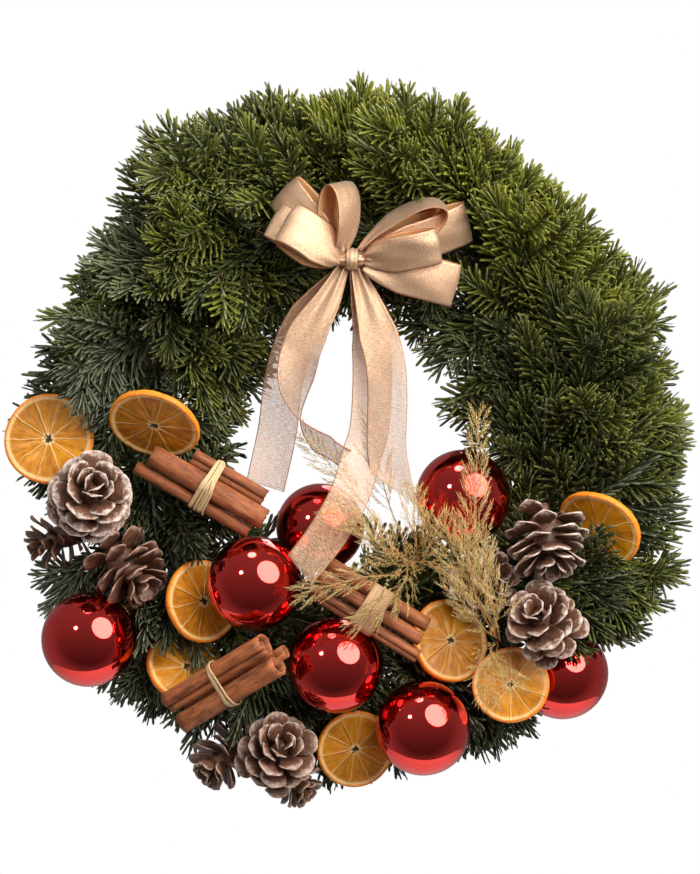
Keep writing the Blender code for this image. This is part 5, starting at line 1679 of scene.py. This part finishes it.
class WREATH_OT_bow(Operator):
    """Tie the bow: eight loops, four tails and the knot"""

    bl_idname = "wreath.bow"
    bl_label = "Bow"

    def execute(self, context):
        settings = context.scene.wreath_bow
        loops = ribbon_finish(settings, "Ribbon", 0.0)
        tails = ribbon_finish(settings, "Sheer ribbon", settings.sheer)
        for index, spec in enumerate(LOOPS, start=1):
            self.make_strip(settings, f"loop_{index}", *self.loop_line(spec), loops,
                    settings.width * spec[4], "bow_loops")
        for index, spec in enumerate(TAILS, start=1):
            self.make_strip(settings, f"tail_{index}", *self.tail_line(spec, index), tails,
                    settings.width, "bow_tails")
        self.make_knot(settings, loops)
        return {"FINISHED"}

    def loop_line(self, spec):
        """Centre line, width directions and gather of a loop, from the knot and back."""
        start, tip, bulge, twist, _ = spec
        origin = place(*(knot + shift for knot, shift in zip(KNOT, start)))
        out = place(*tip) - origin
        reach_full = out.length
        out.normalize()
        flat = out.cross(FRONT).normalized()
        front = flat.cross(out)
        twist = radians(twist)
        width_way = flat * cos(twist) + front * sin(twist)
        bulge_way = front * cos(twist) - flat * sin(twist)
        points, ways, gathers = [], [], []
        for part in shares(RIBBON_STEPS):
            turn = tau * blend(0.03, 0.97, part)
            reach = reach_full * (1 - cos(turn)) / 2
            rise = bulge * MM * sin(turn) * (0.5 + 0.5 * sin(turn / 2))
            points.append(origin + out * reach + bulge_way * rise)
            ways.append(width_way)
            gathers.append(1 - min(1.0, 0.3 + 1.1 * sin(turn / 2)))
        return points, ways, gathers, 0

    def tail_line(self, spec, index):
        """Centre line, width directions and gather of a tail, with the slant of its end."""
        marks, turn, slant = spec
        points = smooth_path([place(*mark) for mark in marks], RIBBON_STEPS)
        ways, gathers = [], []
        for part in shares(RIBBON_STEPS):
            angle = radians(turn) * clamp((part - 0.35) / 0.5)
            angle += 0.30 * sin(5.0 * part + index * 1.7) * part
            ways.append(Vector((cos(angle), sin(angle), 0.1)).normalized())
            gathers.append(1 - min(1.0, 0.28 + 2.6 * part))
        return points, ways, gathers, slant

    def make_strip(self, settings, name, points, ways, gathers, cut, finish, width, node):
        """A strip of ribbon along a line, pleated where it is gathered."""
        surface = Surface()
        rows = []
        travelled = 0.0
        tangents = [tangent for tangent, *_ in frames(points)]
        for index, (point, way, gather) in enumerate(zip(points, ways, gathers)):
            if index:
                travelled += (point - points[index - 1]).length
            across = (way - tangents[index] * way.dot(tangents[index])).normalized()
            normal = tangents[index].cross(across)
            part = index / (len(points) - 1)
            top, bottom = [], []
            for share in shares(RIBBON_COLUMNS):
                u = share * 2 - 1
                pleat = sin(u * pi * 1.7 + 0.4) * gather * 2.8 * MM
                wave = noise.noise(Vector((u * 1.3, travelled * 45, hash_of(name))))
                ripple = wave * 0.9 * MM * (1 - gather)
                curl = 1.2 * MM * u * u * (1 - gather)
                shift = cut * u * MM * max(0.0, part - 0.7) / 0.3
                spot = point + across * u * width / 2 * (1 - gather) + tangents[index] * shift
                spot += normal * (pleat + ripple + curl)
                thick = settings.thickness / 2 * (1.5 if abs(u) > 0.95 else 1.0)
                for face, bucket in ((1, top), (-1, bottom)):
                    bucket.append(surface.add(spot + normal * thick * face,
                            cloth=(u * width / 2, travelled, 0.0), span=(u, part, face)))
            rows.append(top + bottom[::-1])
        surface.skin(rows, closed_round=True)
        surface.close_ends(rows)
        piece = hand_over(new_object(name, surface.mesh(name), finish), node)

    def make_knot(self, settings, finish):
        """The gathered middle of the bow, and the ribbon wound tight round it."""
        surface = Surface()
        centre = place(*KNOT)
        rows = []
        for part in shares(28):
            right = blend(-KNOT_HALF, KNOT_HALF, part) * MM
            swell = (5.0 - 1.4 * exp(-((part - 0.5) / 0.16) ** 2)) * MM
            swell *= sin(pi * clamp(part, 0.02, 0.98)) ** 0.35
            row = []
            for angle in angles(40):
                reach = swell * (1 + 0.10 * cos(angle * 9 + part * 2))
                row.append(surface.add(
                    centre + Vector((right, reach * cos(angle), reach * sin(angle))),
                    cloth=(angle * 0.005, right, 0.0), span=(0.0, part, 0.0)))
            rows.append(row)
        surface.skin(rows, closed_round=True)
        surface.faces += [tuple(rows[0]), tuple(rows[-1])]
        self.add_band(surface, centre)
        hand_over(new_object("knot", surface.mesh("knot"), finish), "bow_knot")

    def add_band(self, surface, centre):
        """The band of ribbon round the gathered middle."""
        rows = []
        for angle in angles(48):
            away = Vector((0, cos(angle), sin(angle)))
            row = []
            for face in (1, -1):
                for share in shares(BAND_COLUMNS):
                    u = (share * 2 - 1) * face
                    fold = 0.35 * sin(u * 7 + angle) * MM
                    reach = (BAND_RADIUS + 0.5 * (1 - u * u)) * MM + fold + face * 0.2 * MM
                    aside = Vector((u * BAND_HALF * MM + 0.4 * MM * sin(angle), 0, 0))
                    row.append(surface.add(
                        centre + away * reach + aside,
                        cloth=(u * 0.004, angle * 0.006, 0.0), span=(u * 0.9, 0.5, 0.0)))
            rows.append(row)
        surface.skin(rows, closed_round=True, closed_along=True)


def hash_of(name):
    """A steady number made of a name."""
    return sum(ord(letter) * (index + 1) for index, letter in enumerate(name)) % 97 * 0.37


class WreathGrass(PropertyGroup):
    """The dried grass."""

    spikelet: length("Spikelet", "Length of a spikelet", 0.0036)
    spacing: length("Spikelet spacing", "Distance along a branch between spikelets", 0.0010)
    gold: colour("Gold", "Spikelets in the light", (0.74, 0.49, 0.20))
    brown: colour("Brown", "Spikelets in the shade", (0.44, 0.255, 0.085))
    seed: whole("Seed", "Seed of the grass's branches", 23)


def grass_finish(settings):
    """Dry golden grass."""
    material, graph, shader = new_finish(
        "Dried grass", Roughness=0.5, Subsurface_Weight=0.4, Subsurface_Scale=0.003)
    mixed = graph.plus(graph.times(graph.attribute("hue"), 0.7),
            graph.times(graph.grain(object_place(graph), 700.0), 0.5))
    shown = graph.ramp(
        mixed, (0.2, settings.brown), (0.7, settings.gold), (1.0, (0.86, 0.66, 0.36)))
    graph.give(shader, Base_Color=shown)
    return material


def spikelet_model():
    """One spikelet of unit length."""
    surface = Surface()
    rows = [[surface.add(Vector((0, 0, 0)))],
            [surface.add(polar(0.07, turn, 0.35)) for turn in angles(3)],
            [surface.add(Vector((0, 0, 1)))]]
    surface.skin(rows, closed_round=True)
    return new_object("spikelet_model", surface.mesh("spikelet_model"))


class WREATH_OT_grass(Operator):
    """Grow the two heads of dried grass"""

    bl_idname = "wreath.grass"
    bl_label = "Dried grass"

    def execute(self, context):
        settings = context.scene.wreath_grass
        draw = random.Random(settings.seed)
        model, tree, finish = spikelet_model(), needle_tree(), grass_finish(settings)
        blocks = obstacle_object("bauble", "orange", "cinnamon")
        for index, plumes in enumerate(GRASS, start=1):
            strands, root = [], None
            for plume in plumes:
                marks = [place(*mark) for mark in plume]
                path = smooth_path([root, *marks] if root else marks, 48)
                root = root or path[6]
                strands += self.plume(path, draw)
            piece = grown(f"grass_{index}", strand_mesh("grass", strands), tree, {
                "Needle": model, "Bud": model, "Obstacles": blocks,
                "Needle Length": settings.spikelet, "Needle Spacing": settings.spacing,
                "Lean": 0.55, "Lean at Tip": 0.2, "Rank Step": 0.9, "Bark Sides": 3,
                "Bud Length": settings.spikelet, "Seed": settings.seed + index,
                "Needle Finish": finish, "Bark Finish": finish, "Bud Finish": finish})
            hand_over(piece, f"dried_grass_{index}")
        remove_models(model, blocks)
        return {"FINISHED"}

    def plume(self, path, draw):
        """A plume's axis and the fine forked branches that stand off its upper part."""
        sizes = [(end - start).length for start, end in zip(path, path[1:])]
        total = sum(sizes)
        count = len(path) - 1
        strands = [(path, {
            "girth": [STALK_GIRTH * MM * (1 - 0.7 * step / count) for step in range(count + 1)],
            "reach": 0.3, "face": FRONT,
            "vigour": [0.0 if step < count * 0.3 else 0.8 for step in range(count + 1)]})]
        distance = total * 0.4
        roll = draw.uniform(0, tau)
        while distance < total - 2 * MM:
            point, along = place_on(path, sizes, distance)
            part = distance / total
            roll += GOLDEN_TURN
            side = along.orthogonal().normalized()
            side = side * cos(roll) + along.cross(side) * sin(roll)
            side = Vector((side.x, side.y * 0.45, side.z)).normalized()
            size = 16 * MM * sin(pi * clamp(part * 0.92)) + 5 * MM
            size *= draw.uniform(0.7, 1.15)
            aim = (along + side * draw.uniform(0.45, 0.9)).normalized()
            branch = bowed(point, aim, along, size)
            strands.append(self.branch(branch, 1.0))
            for start, way in ((2, 1), (3, -1)):
                aim = (along * 0.9 + side * 0.5 + along.cross(side) * way * 0.5).normalized()
                strands.append(self.branch(bowed(branch[start], aim, along, size * 0.5), 0.8))
            distance += draw.uniform(1.7, 3.0) * MM
        return strands

    def branch(self, path, vigour):
        """One fine branch as a strand."""
        return path, {"girth": BRANCH_GIRTH * MM, "face": FRONT, "reach": shares(6),
                "vigour": [0.0] + [vigour * part for part in (0.7, 0.9, 1.0, 1.0, 1.0, 0.9)]}


class WreathStage(PropertyGroup):
    """The floor, the lights and the camera."""

    distance: length("Camera distance", "From the camera to the door", 2.6)
    floor_drop: length("Floor drop", "From the hook down to the floor", 1.25)


class WREATH_OT_stage(Operator):
    """Set the floor, the soft lights and the camera"""

    bl_idname = "wreath.stage"
    bl_label = "Stage"

    def execute(self, context):
        settings = context.scene.wreath_stage
        floor_mesh = bpy.data.meshes.new("floor")
        disc = bmesh.new()
        bmesh.ops.create_circle(disc, cap_ends=True, segments=96, radius=FLOOR_RADIUS)
        disc.to_mesh(floor_mesh)
        disc.free()
        floor_mesh.transform(Matrix.Translation((0, FLOOR_BACK, -settings.floor_drop)))
        finish = new_finish("Floor", Base_Color=(0.86, 0.86, 0.86), Roughness=0.7)[0]
        new_object("floor", floor_mesh, finish)
        for light in LIGHTS:
            self.add_light(*light)
        self.make_world()
        context.scene.view_settings.view_transform = "Standard"
        camera = bpy.data.cameras.new("camera")
        camera.lens = LENS
        camera.clip_end = 50.0
        item = new_object("camera", camera)
        item.location = (0, -settings.distance, RING_MIDDLE.z - CAMERA_DROP)
        item.rotation_euler = (pi / 2, 0, 0)
        context.scene.camera = item
        return {"FINISHED"}

    def add_light(self, name, place_at, size, power, tint):
        """One round soft light that looks at the wreath."""
        light = bpy.data.lights.new(name, "AREA")
        light.shape = "DISK"
        light.size = size
        light.energy = power
        light.color = tint
        item = new_object(name, light)
        item.location = place_at
        aim = RING_MIDDLE - item.location
        item.rotation_euler = aim.to_track_quat("-Z", "Y").to_euler()

    def make_world(self):
        """White to the camera, and a dim studio to everything else."""
        world = bpy.data.worlds.new("studio")
        bpy.context.scene.world = world
        world.use_nodes = True
        graph = Graph(world.node_tree)
        world.node_tree.nodes.clear()
        way = graph.add("ShaderNodeTexCoord").outputs["Generated"]
        behind = graph.vector("DOT_PRODUCT", way, (0, 0.985, -0.17)).outputs["Value"]
        height = graph.add("ShaderNodeSeparateXYZ", way).outputs["Z"]
        room = graph.fit(height, -1.0, 1.0, ROOM_LOW, ROOM_HIGH)
        level = graph.add("ShaderNodeMix", graph.fit(behind, -0.35, 0.2), room, ROOM_FRONT)
        studio = graph.add("ShaderNodeBackground", (1.0, 0.97, 0.93), level)
        white = graph.add("ShaderNodeBackground", (1, 1, 1), 1.0)
        seen = graph.add("ShaderNodeLightPath").outputs["Is Camera Ray"]
        mixed = graph.add("ShaderNodeMixShader", seen, studio, white)
        graph.add("ShaderNodeOutputWorld", mixed)


class WREATH_PT_panel(Panel):
    """The wreath's pieces and their sizes"""

    bl_idname = "WREATH_PT_panel"
    bl_label = "Door wreath"
    bl_space_type = "VIEW_3D"
    bl_region_type = "UI"
    bl_category = "Wreath"

    def draw(self, context):
        for operator, holder, _ in PIECES:
            box = self.layout.box()
            box.operator(operator.bl_idname)
            settings = getattr(context.scene, holder)
            for name in settings.bl_rna.properties.keys():
                if name not in ("rna_type", "name"):
                    box.prop(settings, name)


# Each piece's operator, the scene's property that holds its settings, and their group
PIECES = (
    (WREATH_OT_stage, "wreath_stage", WreathStage),
    (WREATH_OT_ring, "wreath_ring", WreathRing),
    (WREATH_OT_fir, "wreath_fir", WreathFir),
    (WREATH_OT_baubles, "wreath_baubles", WreathBaubles),
    (WREATH_OT_oranges, "wreath_oranges", WreathOranges),
    (WREATH_OT_cones, "wreath_cones", WreathCones),
    (WREATH_OT_cinnamon, "wreath_cinnamon", WreathCinnamon),
    (WREATH_OT_bow, "wreath_bow", WreathBow),
    (WREATH_OT_grass, "wreath_grass", WreathGrass),
)


def register():
    """Make the settings, the operators and the panel known."""
    for operator, holder, group in PIECES:
        bpy.utils.register_class(group)
        setattr(bpy.types.Scene, holder, PointerProperty(type=group))
        bpy.utils.register_class(operator)
    bpy.utils.register_class(WREATH_PT_panel)


def unregister():
    """Take them away again."""
    bpy.utils.unregister_class(WREATH_PT_panel)
    for operator, holder, group in reversed(PIECES):
        bpy.utils.unregister_class(operator)
        delattr(bpy.types.Scene, holder)
        bpy.utils.unregister_class(group)


def main():
    """Make every piece."""
    register()
    for operator, *_ in PIECES:
        group, name = operator.bl_idname.split(".")
        getattr(getattr(bpy.ops, group), name)()


if __name__ == "__main__":
    main()
